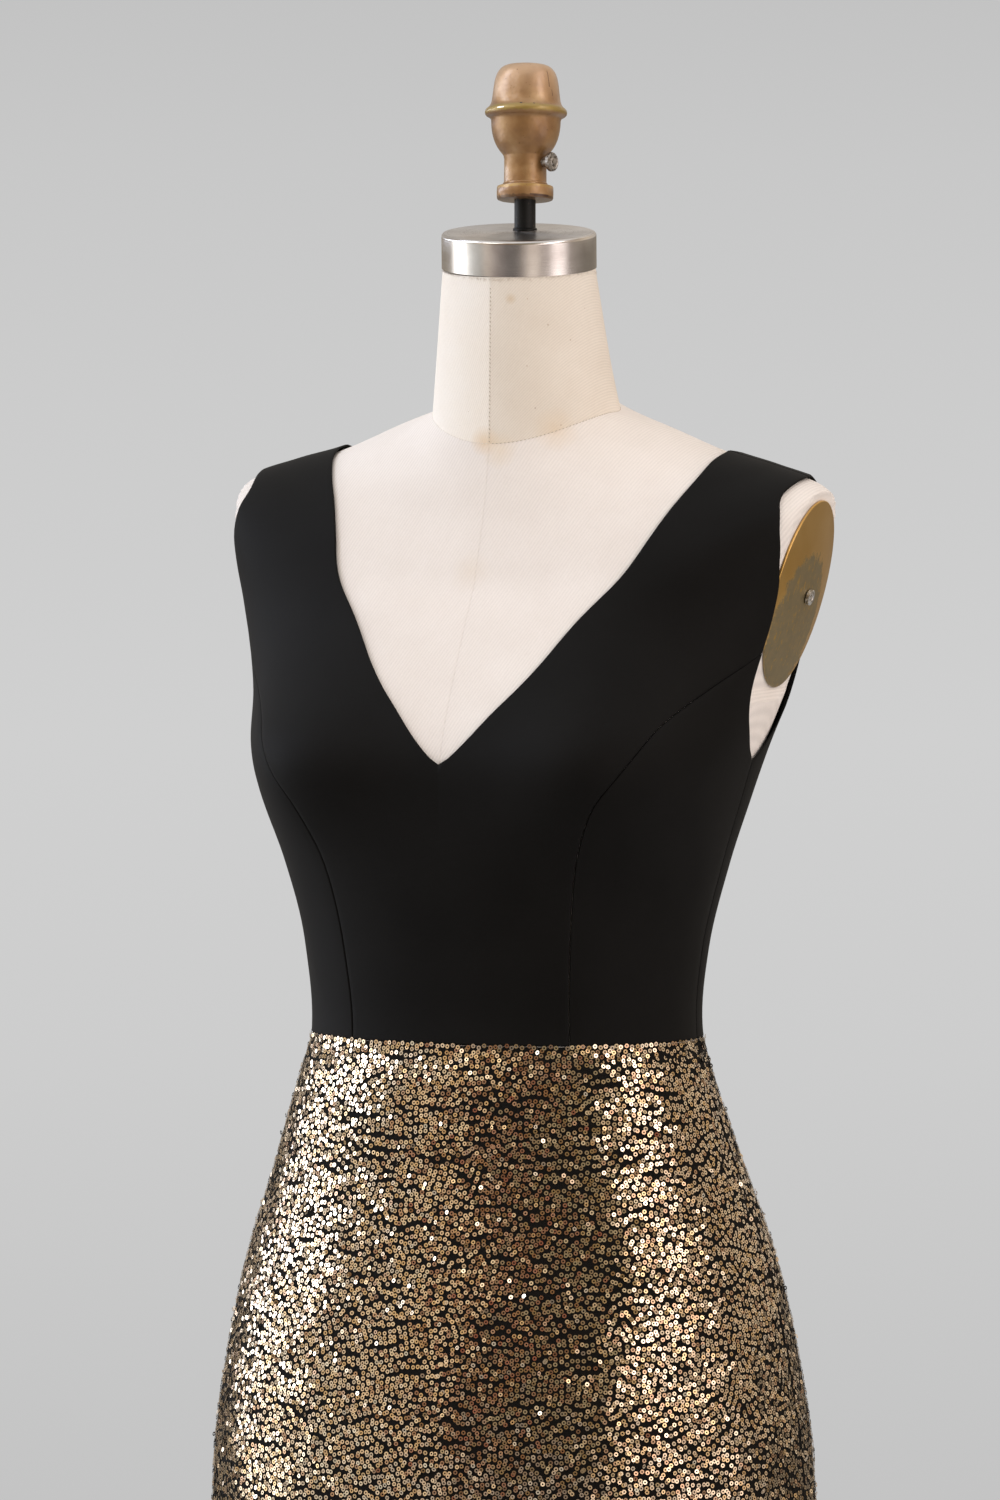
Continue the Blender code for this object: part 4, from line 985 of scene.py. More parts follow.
def skirt_points(z, turn):
    """Points on the inside of the skirt; z in centimetres, turn in degrees."""
    z, turn = np.broadcast_arrays(np.asarray(z, float), np.asarray(turn, float))
    heights = SKIRT_RINGS[:, 0]
    position = np.interp(-z, -heights, np.arange(len(heights)))
    ring = dict(zip(SKIRT_COLUMNS, np.moveaxis(catmull_rom(SKIRT_RINGS, position), -1, 0)))
    half_width = ring["half_width"] - SEQUIN_CLOTH / CM
    sine, cosine = np.sin(np.radians(turn)), np.cos(np.radians(turn))
    power = 2 / SKIRT_SQUARENESS
    x = half_width * signed_power(sine, power)
    y = ring["centre_y"] - half_width * ring["depth_ratio"] * signed_power(cosine, power)
    out = skirt_creases(z, turn)
    for at_turn, most, half_turn, top_z in FLUTES:
        away = (turn - at_turn + 180) % 360 - 180
        open_up = np.clip((top_z - z) / (top_z - HEM_Z / CM), 0.0, 1.0)
        out += most * open_up ** FLUTE_OPENING * np.exp(-(away / half_turn) ** 2)
    return np.stack((x + out * sine, y - out * cosine, z), axis=-1) * CM


def skirt_normals(z, turn):
    along = skirt_points(z + 0.2, turn) - skirt_points(z - 0.2, turn)
    around = skirt_points(z, turn + 1) - skirt_points(z, turn - 1)
    return unit(np.cross(around, along))


SKIRT_TOP = (WAIST_Z - SEAM_GAP / 2 - SKIRT_LEAN) / CM
print("skirt from %.2f to %.2f cm" % (SKIRT_TOP, HEM_Z / CM))

# %% [markdown]
# The mesh itself is almost black and quite dull, a knitted net with holes finer than the
# picture shows, so a small Voronoi relief is enough for it.

# %% Black mesh ground
NET_CELL = 1.2 * MM


def make_net():
    material, tree, shader = new_material("black_knitted_net", {"Roughness": 0.8,
                                                                "Specular IOR Level": 0.1})
    where = add_node(tree, "TexCoord").outputs["Object"]
    cells = add_node(tree, "TexVoronoi", {"Vector": where, "Scale": 1 / NET_CELL},
                     feature="DISTANCE_TO_EDGE")
    colour = add_node(tree, "ValToRGB", {"Fac": cells})
    paint_ramp(colour, ((0.05, "#15120f"), (0.3, "#080706")))
    bump = add_node(tree, "Bump", {"Height": cells, "Strength": 0.5, "Distance": 0.0003},
                    invert=True)
    set_inputs(shader, {"Base Color": colour, "Normal": bump})
    return material


BLACK_NET = make_net()
GROUND_ROWS = 56
SKIRT_CUT = {
    # piece              first turn        last turn        columns flat size       area
    "net_skirt_front": (-SKIRT_SEAM_TURN, SKIRT_SEAM_TURN, 64, (0.73, 1.055), 0.629),
    "net_skirt_back_left": (SKIRT_SEAM_TURN, 180.0, 32, (0.36, 1.055), 0.302),
    "net_skirt_back_right": (-180.0, -SKIRT_SEAM_TURN, 32, (0.36, 1.055), 0.302),
}


def build_ground(name, first_turn, last_turn, columns):
    # the net reaches up to the crepe, so no canvas shows between them
    length = SKIRT_TOP + SEAM_GAP / CM - HEM_Z / CM
    z = HEM_Z / CM + length * crowded_ends(np.array([length * CM]), GROUND_ROWS)[0]
    width = np.linalg.norm(skirt_points(z, first_turn) - skirt_points(z, last_turn), axis=1)
    fraction = crowded_ends(width, columns)
    turn = first_turn + (last_turn - first_turn) * fraction
    heights = np.repeat(z[:, None], turn.shape[1], axis=1)
    inner = trim(skirt_points(heights, turn), SEAM_GAP / 2)
    panel = cloth_shell(name, inner, skirt_normals(heights, turn), GROUND)
    return sew_up(panel, BLACK_NET, "gold_sequins", name.replace("net_", ""))


for name, (first_turn, last_turn, columns, flat, area) in SKIRT_CUT.items():
    build_ground(name, first_turn, last_turn, columns)

# %% [markdown]
# Sequins are punched from lacquered, metal-coated film, so each one is a tiny flat mirror
# that reflects one patch of the room: that is where the skirt's sparkle comes from, and
# no painted pattern moves like it. They are sewn on in wavy rows, and the rows are drawn
# together in bands with black net between them. About a hundred thousand flat discs are
# too many to add one by one, so arrays place them all and a few joined meshes hold them.
# Near the waist, where the camera is close, each disc has its punched hole. Further down
# a plain hexagon does.

# %% Sequin finishes
SEQUIN_TONES = (
    # name                 colour     roughness share
    ("sequin_champagne",   "#efd6b6", 0.17,     0.50),
    ("sequin_pale_gold",   "#f5e2c4", 0.13,     0.20),
    ("sequin_old_gold",    "#e0c092", 0.20,     0.20),
    ("sequin_rose_bronze", "#c8a484", 0.22,     0.10),
)
SEQUIN_MATERIALS = [
    new_material(name, {"Base Color": srgb(colour), "Metallic": 1.0, "Roughness": roughness})[0]
    for name, colour, roughness, _ in SEQUIN_TONES]
print("tones of gold:", len(SEQUIN_MATERIALS))

# %% [markdown]
# The rows run round the skirt from the waist to the hem. A row takes most of its waviness
# from the row above it and adds a little of its own, which smooth noise decides.

# %% Where the sequins go
SEQUIN_RADIUS = 1.42 * MM
SEQUIN_HOLE = 0.62 * MM
SEQUIN_SIDES = 7
PLAIN_SIDES = 6
SEQUIN_PITCH = 0.332            # centimetres along a row
TIGHT_ROWS = 0.283              # between rows that are sewn close together
WIDEST_GAP = 0.30               # more than that, where the net shows
MEAN_ROWS = 0.343
ROWS_PER_BAND = 2.35
WANDER_OF_BANDS = (
    # by how many bands, over how many centimetres, over how many rows
    (1.10, 3.0, 4.0),
    (0.35, 1.1, 1.8),
)
ZIGZAG = 0.042
SEAM_MARGIN = 0.14              # centimetres kept free on each side of a seam
TOP_OVERLAP = 0.11              # how far sequins may stand above the skirt's edge
FIRST_ROW = 0.03                # the first row's height above that edge
SCATTER = (0.034, 0.030)        # along a row and up, in centimetres
DRIFT_KEPT = 0.955              # share of its waviness that a row hands down

random = np.random.RandomState(22)
noise_table = random.uniform(-1.0, 1.0, (64, 64))


def soft_noise(x, y, seed):
    """Smooth noise between -1 and 1, the same on every run."""
    x, y = np.broadcast_arrays(x, y)
    x, y = x + 17.3 * seed, y + 9.1 * seed
    i, j = np.floor(x).astype(int), np.floor(y).astype(int)
    u, v = x - i, y - j
    u, v = u * u * (3 - 2 * u), v * v * (3 - 2 * v)
    corner = [[noise_table[(i + a) % 64, (j + b) % 64] for b in (0, 1)] for a in (0, 1)]
    low = corner[0][0] * (1 - u) + corner[1][0] * u
    high = corner[0][1] * (1 - u) + corner[1][1] * u
    return low * (1 - v) + high * v


def gap_below(along, row):
    """Extra room under a row, where the net shows; it wanders from row to row."""
    wander = 0.0
    for seed, (bands, length, rows) in enumerate(WANDER_OF_BANDS, 1):
        wander = wander + bands * soft_noise(along / length, row / rows, seed)
    phase = 2 * math.pi * (row / ROWS_PER_BAND + wander)
    opening = np.clip((np.cos(phase) - 0.20) / 0.80, 0.0, 1.0)
    strength = np.clip(0.65 + 1.1 * soft_noise(along / 1.3, row / 2.0, 3), 0.0, 1.0)
    return WIDEST_GAP * strength * opening


def sequin_places():
    """Heights, turns, places along and row numbers of all the sequins."""
    turn_grid = np.linspace(-180.0, 180.0, 721)
    drift = np.zeros_like(turn_grid)
    places = []
    z = SKIRT_TOP + FIRST_ROW
    row = 0
    while z > HEM_Z / CM - 0.3:
        ring = skirt_points(max(z, HEM_Z / CM), turn_grid)
        steps = np.linalg.norm(np.diff(ring, axis=0), axis=1) / CM
        run = np.concatenate(([0.0], np.cumsum(steps)))
        count = int(run[-1] / SEQUIN_PITCH)
        at = (np.arange(count) + random.uniform(0, 1)) * run[-1] / count
        at = (at + random.normal(0, SCATTER[0], count)) % run[-1]
        turn = np.interp(at, run, turn_grid)
        height = z + np.interp(at, run, drift) + random.normal(0, SCATTER[1], count)
        height += ZIGZAG * np.where((np.arange(count) + row) % 2, 1.0, -1.0)
        places.append(np.stack((height, turn, at, np.full(count, row)), axis=-1))
        spacing = TIGHT_ROWS + gap_below(run, row)
        drift = DRIFT_KEPT * drift - (spacing - MEAN_ROWS)
        z -= MEAN_ROWS
        row += 1
    return np.concatenate(places)


def off_the_seams(place):
    """Keeps the sequins that clear the side seams, the centre back and both ends."""
    height, turn = place[:, 0], place[:, 1]
    reach = np.interp(-height, -SKIRT_RINGS[:, 0], SKIRT_RINGS[:, 1])
    margin = np.degrees(SEAM_MARGIN / reach)
    from_side = np.abs(np.abs(turn) - SKIRT_SEAM_TURN)
    from_back = 180.0 - np.abs(turn)
    inside = (height < SKIRT_TOP + TOP_OVERLAP) & (height > HEM_Z / CM + SEAM_MARGIN)
    return place[(from_side > margin) & (from_back > margin) & inside]


sequins = off_the_seams(sequin_places())
print("sequins:", len(sequins))

# %% [markdown]
# A sewn disc never lies quite flat. Neighbours on one thread lean alike, each has a small
# lean of its own, and now and then one stands almost on edge. Leaning by one degree moves
# its reflection by two, so these few degrees decide how the highlights break up.

# %% Sequin meshes
PITCH_LEAN = (3.0, 3.8)         # degrees: what neighbours share, and a disc's own scatter
YAW_LEAN = (4.0, 4.6)
STRAY_SHARE, STRAY_LEAN = 0.05, 3.4     # how many stand askew, and how much more
DISC_LIFT, MOST_LIFT = 0.35 * MM, 1.9 * MM
CREPE_LIFT = 0.7 * MM           # more than that at the waist, where they lie on the crepe
CREPE_REACH = 0.3               # centimetres below the waist where that ends


def sequin_frames(place):
    """Centre, across and up vectors of each disc, with its lean."""
    height, turn, at, row = place.T
    normal = skirt_normals(height, turn)
    up = unit(np.array((0.0, 0.0, 1.0)) - normal * normal[:, 2:])
    across = np.cross(up, normal)
    pitch = PITCH_LEAN[0] * soft_noise(at, row / 1.4, 5)
    pitch = pitch + random.normal(0, PITCH_LEAN[1], len(at))
    yaw = YAW_LEAN[0] * soft_noise(at, row / 1.2, 6)
    yaw = yaw + random.normal(0, YAW_LEAN[1], len(at))
    stray = random.uniform(0, 1, len(at)) < STRAY_SHARE
    pitch = np.where(stray, pitch * STRAY_LEAN, pitch)
    yaw = np.where(stray, yaw * STRAY_LEAN, yaw)
    lift = GROUND + DISC_LIFT + SEQUIN_RADIUS * (np.sin(np.radians(np.abs(pitch)))
                                                 + np.sin(np.radians(np.abs(yaw)))) * 0.8
    lift = lift + CREPE_LIFT * np.clip(1 - (SKIRT_TOP - height) / CREPE_REACH, 0.0, 1.0)
    centre = skirt_points(height, turn) + normal * np.minimum(lift, MOST_LIFT)[:, None]
    pitch, yaw = np.radians(pitch)[:, None], np.radians(yaw)[:, None]
    across = unit(across * np.cos(yaw) + normal * np.sin(yaw))
    up = unit(up * np.cos(pitch) + normal * np.sin(pitch))
    up = unit(up - across * np.sum(up * across, axis=1, keepdims=True))
    spin = random.uniform(0, 2 * math.pi, len(at))[:, None]
    return (centre, across * np.cos(spin) + up * np.sin(spin),
            up * np.cos(spin) - across * np.sin(spin))


def ring_points(centre, across, up, radius, count):
    angle = 2 * math.pi * np.arange(count) / count
    offset = (across[:, None] * np.cos(angle)[None, :, None]
              + up[:, None] * np.sin(angle)[None, :, None])
    return centre[:, None] + radius * offset


HOLED_DISC = [corner for k in range(SEQUIN_SIDES) for corner in (
    (k, (k + 1) % SEQUIN_SIDES, SEQUIN_SIDES + k),
    ((k + 1) % SEQUIN_SIDES, SEQUIN_SIDES + (k + 1) % SEQUIN_SIDES, SEQUIN_SIDES + k))]
PLAIN_DISC = [(0, k, k + 1) for k in range(1, PLAIN_SIDES - 1)]


def sequin_mesh(name, place, holed):
    """All the discs of one piece as a single mesh."""
    centre, across, up = sequin_frames(place)
    if holed:
        points = np.concatenate(
            (ring_points(centre, across, up, SEQUIN_RADIUS, SEQUIN_SIDES),
             ring_points(centre, across, up, SEQUIN_HOLE, SEQUIN_SIDES)), axis=1)
        faces = np.array(HOLED_DISC)
    else:
        points = ring_points(centre, across, up, SEQUIN_RADIUS, PLAIN_SIDES)
        faces = np.array(PLAIN_DISC)
    discs, corners = points.shape[:2]
    index = (faces[None] + corners * np.arange(discs)[:, None, None]).reshape(-1, 3)
    thing = mesh_of_triangles(name, points, index)
    shares = np.cumsum([tone[3] for tone in SEQUIN_TONES])
    tone = np.searchsorted(shares, random.uniform(0, 0.9999, discs))
    for material in SEQUIN_MATERIALS:
        thing.data.materials.append(material)
    thing.data.polygons.foreach_set("material_index", np.repeat(tone, len(faces)))
    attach(thing, BODY)
    print("%-30s %6d discs %7d triangles" % (name, discs, len(index)))
    return thing


SEQUIN_AREAS = (
    # name           first turn        last turn         lowest z  highest z  holes
    ("front_upper",  -SKIRT_SEAM_TURN, SKIRT_SEAM_TURN,  90.0,     108.0,     True),
    ("front_middle", -SKIRT_SEAM_TURN, SKIRT_SEAM_TURN,  77.0,     90.0,      True),
    ("front_lower",  -SKIRT_SEAM_TURN, SKIRT_SEAM_TURN,  2.0,      77.0,      False),
    ("left_upper",   SKIRT_SEAM_TURN,  180.0,            77.0,     108.0,     True),
    ("left_lower",   SKIRT_SEAM_TURN,  180.0,            2.0,      77.0,      False),
    ("right_upper",  -180.0,           -SKIRT_SEAM_TURN, 77.0,     108.0,     True),
    ("right_lower",  -180.0,           -SKIRT_SEAM_TURN, 2.0,      77.0,      False),
)
for name, first_turn, last_turn, low, high, holed in SEQUIN_AREAS:
    here = ((sequins[:, 1] > first_turn) & (sequins[:, 1] <= last_turn)
            & (sequins[:, 0] > low) & (sequins[:, 0] <= high))
    sequin_mesh("sequins_" + name, sequins[here], holed)
for name, area_names in (("net_skirt_front", ("front_upper", "front_middle", "front_lower")),
                         ("net_skirt_back_left", ("left_upper", "left_lower")),
                         ("net_skirt_back_right", ("right_upper", "right_lower"))):
    flat, area = SKIRT_CUT[name][3:]

# %% [markdown]
# Small metal comes in two finishes. Black paint on steel keeps a low sheen and shows a few
# specks of rust; zinc plating has a crystalline, uneven grey.

# %% Black steel and zinc
def make_black_steel():
    material, tree, shader = new_material("black_painted_steel", {"Roughness": 0.45,
                                                                  "Specular IOR Level": 0.25})
    where = add_node(tree, "TexCoord").outputs["Object"]
    rust = add_node(tree, "TexNoise", {"Vector": where, "Scale": 900.0, "Detail": 2.0})
    colour = add_node(tree, "ValToRGB", {"Fac": rust})
    paint_ramp(colour, ((0.55, "#0b0c0c"), (0.68, "#161615"), (0.76, "#5d4632")))
    bump = add_node(tree, "Bump", {"Height": rust, "Strength": 0.2, "Distance": 0.0002})
    set_inputs(shader, {"Base Color": colour, "Normal": bump})
    return material


def make_zinc(name, dark, light):
    material, tree, shader = new_material(name, {"Metallic": 1.0})
    where = add_node(tree, "TexCoord").outputs["Object"]
    cells = add_node(tree, "TexNoise", {"Vector": where, "Scale": 700.0, "Detail": 3.0})
    colour = add_node(tree, "ValToRGB", {"Fac": cells})
    paint_ramp(colour, ((0.35, dark), (0.6, light)))
    rough = add_node(tree, "MapRange", {"Value": cells, "From Min": 0.3, "From Max": 0.7,
                                        "To Min": 0.25, "To Max": 0.5})
    bump = add_node(tree, "Bump", {"Height": cells, "Strength": 0.5, "Distance": 0.0003})
    set_inputs(shader, {"Base Color": colour, "Roughness": rough, "Normal": bump})
    return material


BLACK_STEEL = make_black_steel()
BRIGHT_ZINC = make_zinc("zinc_plated_nut", "#aaa69f", "#e4e1dc")
# the screw's zinc is a darker grey than the nut's
DARKER_ZINC = make_zinc("zinc_plated_screw_darker", "#6c665f", "#b4afa9")
print("small metal:", BLACK_STEEL.name, BRIGHT_ZINC.name, DARKER_ZINC.name)

# %% [markdown]
# The centre-back zip is closed: below its slider, two rows of black teeth mesh into one
# narrow ladder along the seam, down past the waist to the hip.

# %% Zip teeth
ZIP_TOP_LEVEL = 9.02
ZIP_FOOT_Z = 91.0               # centimetres above the floor
TOOTH_PITCH = 1.6 * MM
TOOTH_HALF = (1.25 * MM, 0.55 * MM, 0.45 * MM)      # across, along and out


def build_zip_teeth():
    level = np.linspace(WAIST_LEVEL, ZIP_TOP_LEVEL, 300)
    bodice, bodice_out = bodice_surface(level, np.full_like(level, 180.0))
    z = np.linspace(ZIP_FOOT_Z, SKIRT_TOP - 0.1, 300)
    skirt, skirt_out = skirt_points(z, 180.0), skirt_normals(z, np.full_like(z, 180.0))
    path = np.concatenate((skirt + skirt_out * (GROUND + 0.35 * MM),
                           bodice + bodice_out * (CREPE - 0.10 * MM)))
    out = np.concatenate((skirt_out, bodice_out))
    run = length_along(path)
    at = np.arange(TOOTH_PITCH, run[-1], TOOTH_PITCH)
    centre = read_at(at, run, path)
    outwards = unit(read_at(at, run, out))
    beside = np.zeros_like(centre)
    beside[:, 0] = 1.0
    up = np.cross(outwards, beside)
    side = np.where(np.arange(len(at)) % 2, 1.0, -1.0)[:, None]
    centre = centre + beside * side * 0.25 * MM
    teeth = copies_of("zip_teeth", BALL, centre, beside * TOOTH_HALF[0], up * TOOTH_HALF[1],
                      outwards * TOOTH_HALF[2])
    return dress(teeth, BLACK_STEEL, "black_steel")


build_zip_teeth()

# %% [markdown]
# The metal pieces are turned ones, so they are made as on a lathe: a ring of points is
# extruded upwards again and again, and scaled to the next radius of the outline each time.

# %% Turned pieces
def turned_piece(name, outline, segments, matrix):
    """Extrudes a filled circle through (radius, height) pairs and puts it in its place."""
    radius, height = outline[0]
    deselect_all()
    bpy.ops.mesh.primitive_circle_add(vertices=segments, radius=radius, fill_type="NGON",
                                      location=(0, 0, height))
    thing = bpy.context.object
    bpy.ops.object.transform_apply(location=True)
    thing.name = name
    thing.data.name = name
    bpy.ops.object.mode_set(mode="EDIT")
    bpy.ops.mesh.select_all(action="SELECT")
    for next_radius, next_height in outline[1:]:
        bpy.ops.mesh.extrude_region_move(
            TRANSFORM_OT_translate={"value": (0, 0, next_height - height)})
        ratio = next_radius / radius
        bpy.ops.transform.resize(value=(ratio, ratio, 1), center_override=(0, 0, next_height))
        radius, height = next_radius, next_height
    bpy.ops.mesh.select_all(action="SELECT")
    bpy.ops.mesh.normals_make_consistent(inside=False)
    bpy.ops.object.mode_set(mode="OBJECT")
    thing.data.transform(matrix)
    smooth(thing, 32)
    return thing


def arc(centre_radius, centre_height, radius, start, end, count=5):
    """Outline points on an arc; angles in degrees from the outward line."""
    angles = [math.radians(start + (end - start) * k / count) for k in range(count + 1)]
    return [(centre_radius + radius * math.cos(a), centre_height + radius * math.sin(a))
            for a in angles]


def in_millimetres(outline):
    return [(radius * MM, height * MM) for radius, height in outline]


# %% [markdown]
# The cap on the neck is spun steel, brushed while it turned. Such fine rings stretch every
# reflection across them, which the shader calls anisotropy: the top shows fans of light
# and the side shows clean upright bands.

# %% Brushed steel
POLE_Y = 0.013                  # the neck rod and the pole stand on this line
CAP_RADIUS, CAP_HEIGHT, CAP_EDGE = 0.0472, 0.0216, 0.0022
CAP_TOP_FACE = CAP_HEIGHT - 0.0006      # from this height up, it is the cap's rougher top


def cap_matrix():
    """On the neck's top, tilted with it."""
    front, back, left, right = (Vector(body_points(TOP_LEVEL, turn))
                                for turn in (0.0, 180.0, 90.0, -90.0))
    up = (left - right).cross(back - front).normalized()
    centre = (front + back) / 2 + up * SEAM_GAP
    return Matrix.Translation(centre) @ up.to_track_quat("Z", "Y").to_matrix().to_4x4()


def own_axis(tree, matrix):
    """In a turned piece's own frame: height, distance from the axis, and the two across."""
    where = add_node(tree, "TexCoord").outputs["Object"]
    rows = matrix.inverted()
    parts = []
    for row in range(3):
        along = add_node(tree, "VectorMath", {0: where, 1: tuple(rows[row][:3])},
                         operation="DOT_PRODUCT")
        parts.append(add_node(tree, "Math", {0: along, 1: rows[row][3]}, operation="ADD"))
    flat = add_node(tree, "CombineXYZ", {"X": parts[0], "Y": parts[1]})
    radius = add_node(tree, "VectorMath", {0: flat}, operation="LENGTH")
    return parts[2], radius, parts[0], parts[1]


def make_brushed_steel():
    material, tree, shader = new_material("brushed_steel_turned", {"Metallic": 1.0,
                                                                   "Anisotropic": 0.75})
    where = add_node(tree, "TexCoord").outputs["Object"]
    height, radius, _, _ = own_axis(tree, cap_matrix())
    rings = add_node(tree, "CombineXYZ", {"X": radius, "Y": height})
    lines = add_node(tree, "TexNoise", {"Vector": rings, "Scale": 2600.0, "Detail": 3.0})
    smudge = add_node(tree, "TexNoise", {"Vector": where, "Scale": 55.0, "Detail": 4.0})
    colour = add_node(tree, "ValToRGB", {"Fac": smudge})
    paint_ramp(colour, ((0.3, "#c3bdb8"), (0.7, "#dcd8d4")))
    rough = add_node(tree, "MapRange", {"Value": lines, "From Min": 0.3, "From Max": 0.7,
                                        "To Min": 0.13, "To Max": 0.22})
    on_top = add_node(tree, "Math", {0: height, 1: CAP_TOP_FACE}, operation="GREATER_THAN")
    rough = add_node(tree, "Math", {0: on_top, 1: 0.12, 2: rough}, operation="MULTIPLY_ADD")
    bump = add_node(tree, "Bump", {"Height": lines, "Strength": 0.12, "Distance": 0.0001})
    spin = add_node(tree, "Tangent", direction_type="RADIAL", axis="Z")
    set_inputs(shader, {"Base Color": colour, "Roughness": rough, "Normal": bump,
                        "Tangent": spin})
    return material


BRUSHED_STEEL = make_brushed_steel()
print("the cap's foot stands at", np.round(cap_matrix().translation, 3))

# %% [markdown]
# The cap is turned from its outline, tilted on to the neck, and bored for the rod that
# stands upright in it.

# %% Neck cap
ROD_RADIUS, ROD_FOOT_Z, ROD_TOP_Z = 0.0065, 1.552, 1.612

# radius and height above the cap's foot, in metres
cap_outline = [(0.030, 0.0), (CAP_RADIUS, 0.0)]
cap_outline += arc(CAP_RADIUS - CAP_EDGE, CAP_HEIGHT - CAP_EDGE, CAP_EDGE, 0, 90)
cap_outline += [(0.040, CAP_HEIGHT + 0.0001), (0.025, CAP_HEIGHT), (0.0004, CAP_HEIGHT)]
cap = turned_piece("neck_cap_turned", cap_outline, 128, cap_matrix())
deselect_all()
bpy.ops.mesh.primitive_cylinder_add(vertices=64, radius=ROD_RADIUS + SEAM_GAP, depth=0.06,
                                    location=(0, POLE_Y, ROD_FOOT_Z - SEAM_GAP + 0.03))
bore = bpy.context.object
hole = cap.modifiers.new("hole_for_the_rod", "BOOLEAN")
hole.object = bore
bpy.context.view_layer.objects.active = cap
bpy.ops.object.modifier_apply(modifier=hole.name)
bpy.data.objects.remove(bore)
dress(cap, BRUSHED_STEEL, "brushed_steel", "neck_cap")

# %% [markdown]
# The knob is cast and then painted bronze. Handling has worn the paint to olive on the
# ridge and on the flange's edge, and left chips and scratches. Its height above the foot,
# measured in its own leaning frame, says where the wear goes, and where the dome is painted
# paler towards its top: a painted sheen of the light from above.

# %% Bronze paint
KNOB_FOOT_Z = 1.5822
KNOB_LEAN_BACK = math.radians(8.0)
KNOB_LEAN_SIDE = math.radians(2.5)
KNOB_RIDGE = 0.0538             # height of the ridge above the foot
# the dome's paler top is a painted highlight of the light from above
KNOB_DOME_PAINTED_SHEEN = (0.056, 0.078)      # where the paler dome begins and where it is palest
KNOB_WEAR_RAGGED = 0.004        # how much its edges stray in height
KNOB_WEAR = (
    # height above the foot, half width, what shows there
    (KNOB_RIDGE + 0.0010, 0.0022, "#9a8240"),
    (0.0078, 0.0011, "#a58347"),
    (0.0008, 0.0012, "#5b4126"),
)
KNOB_MARKS = (
    # turn   height half_width half_height wobble, in millimetres; what shows there
    (66.0,   73.0,  0.22,      5.0,        3.0,    "#4a3020"),
    (72.0,   64.5,  0.22,      2.0,        2.0,    "#5a3a26"),
    (-17.0,  54.6,  2.60,      0.40,       1.0,    "#efe6d2"),
    (14.0,   57.0,  0.80,      0.35,       1.0,    "#3a2a1c"),
    (34.0,   56.8,  0.60,      0.30,       1.0,    "#4a3422"),
    (56.0,   1.6,   7.00,      0.70,       6.0,    "#4c3220"),
    (20.0,   1.0,   6.00,      0.50,       6.0,    "#6a482a"),
)


def knob_matrix():
    lean = Matrix.Rotation(-KNOB_LEAN_BACK, 4, "X") @ Matrix.Rotation(-KNOB_LEAN_SIDE, 4, "Y")
    return Matrix.Translation((0.0, POLE_Y, KNOB_FOOT_Z)) @ lean


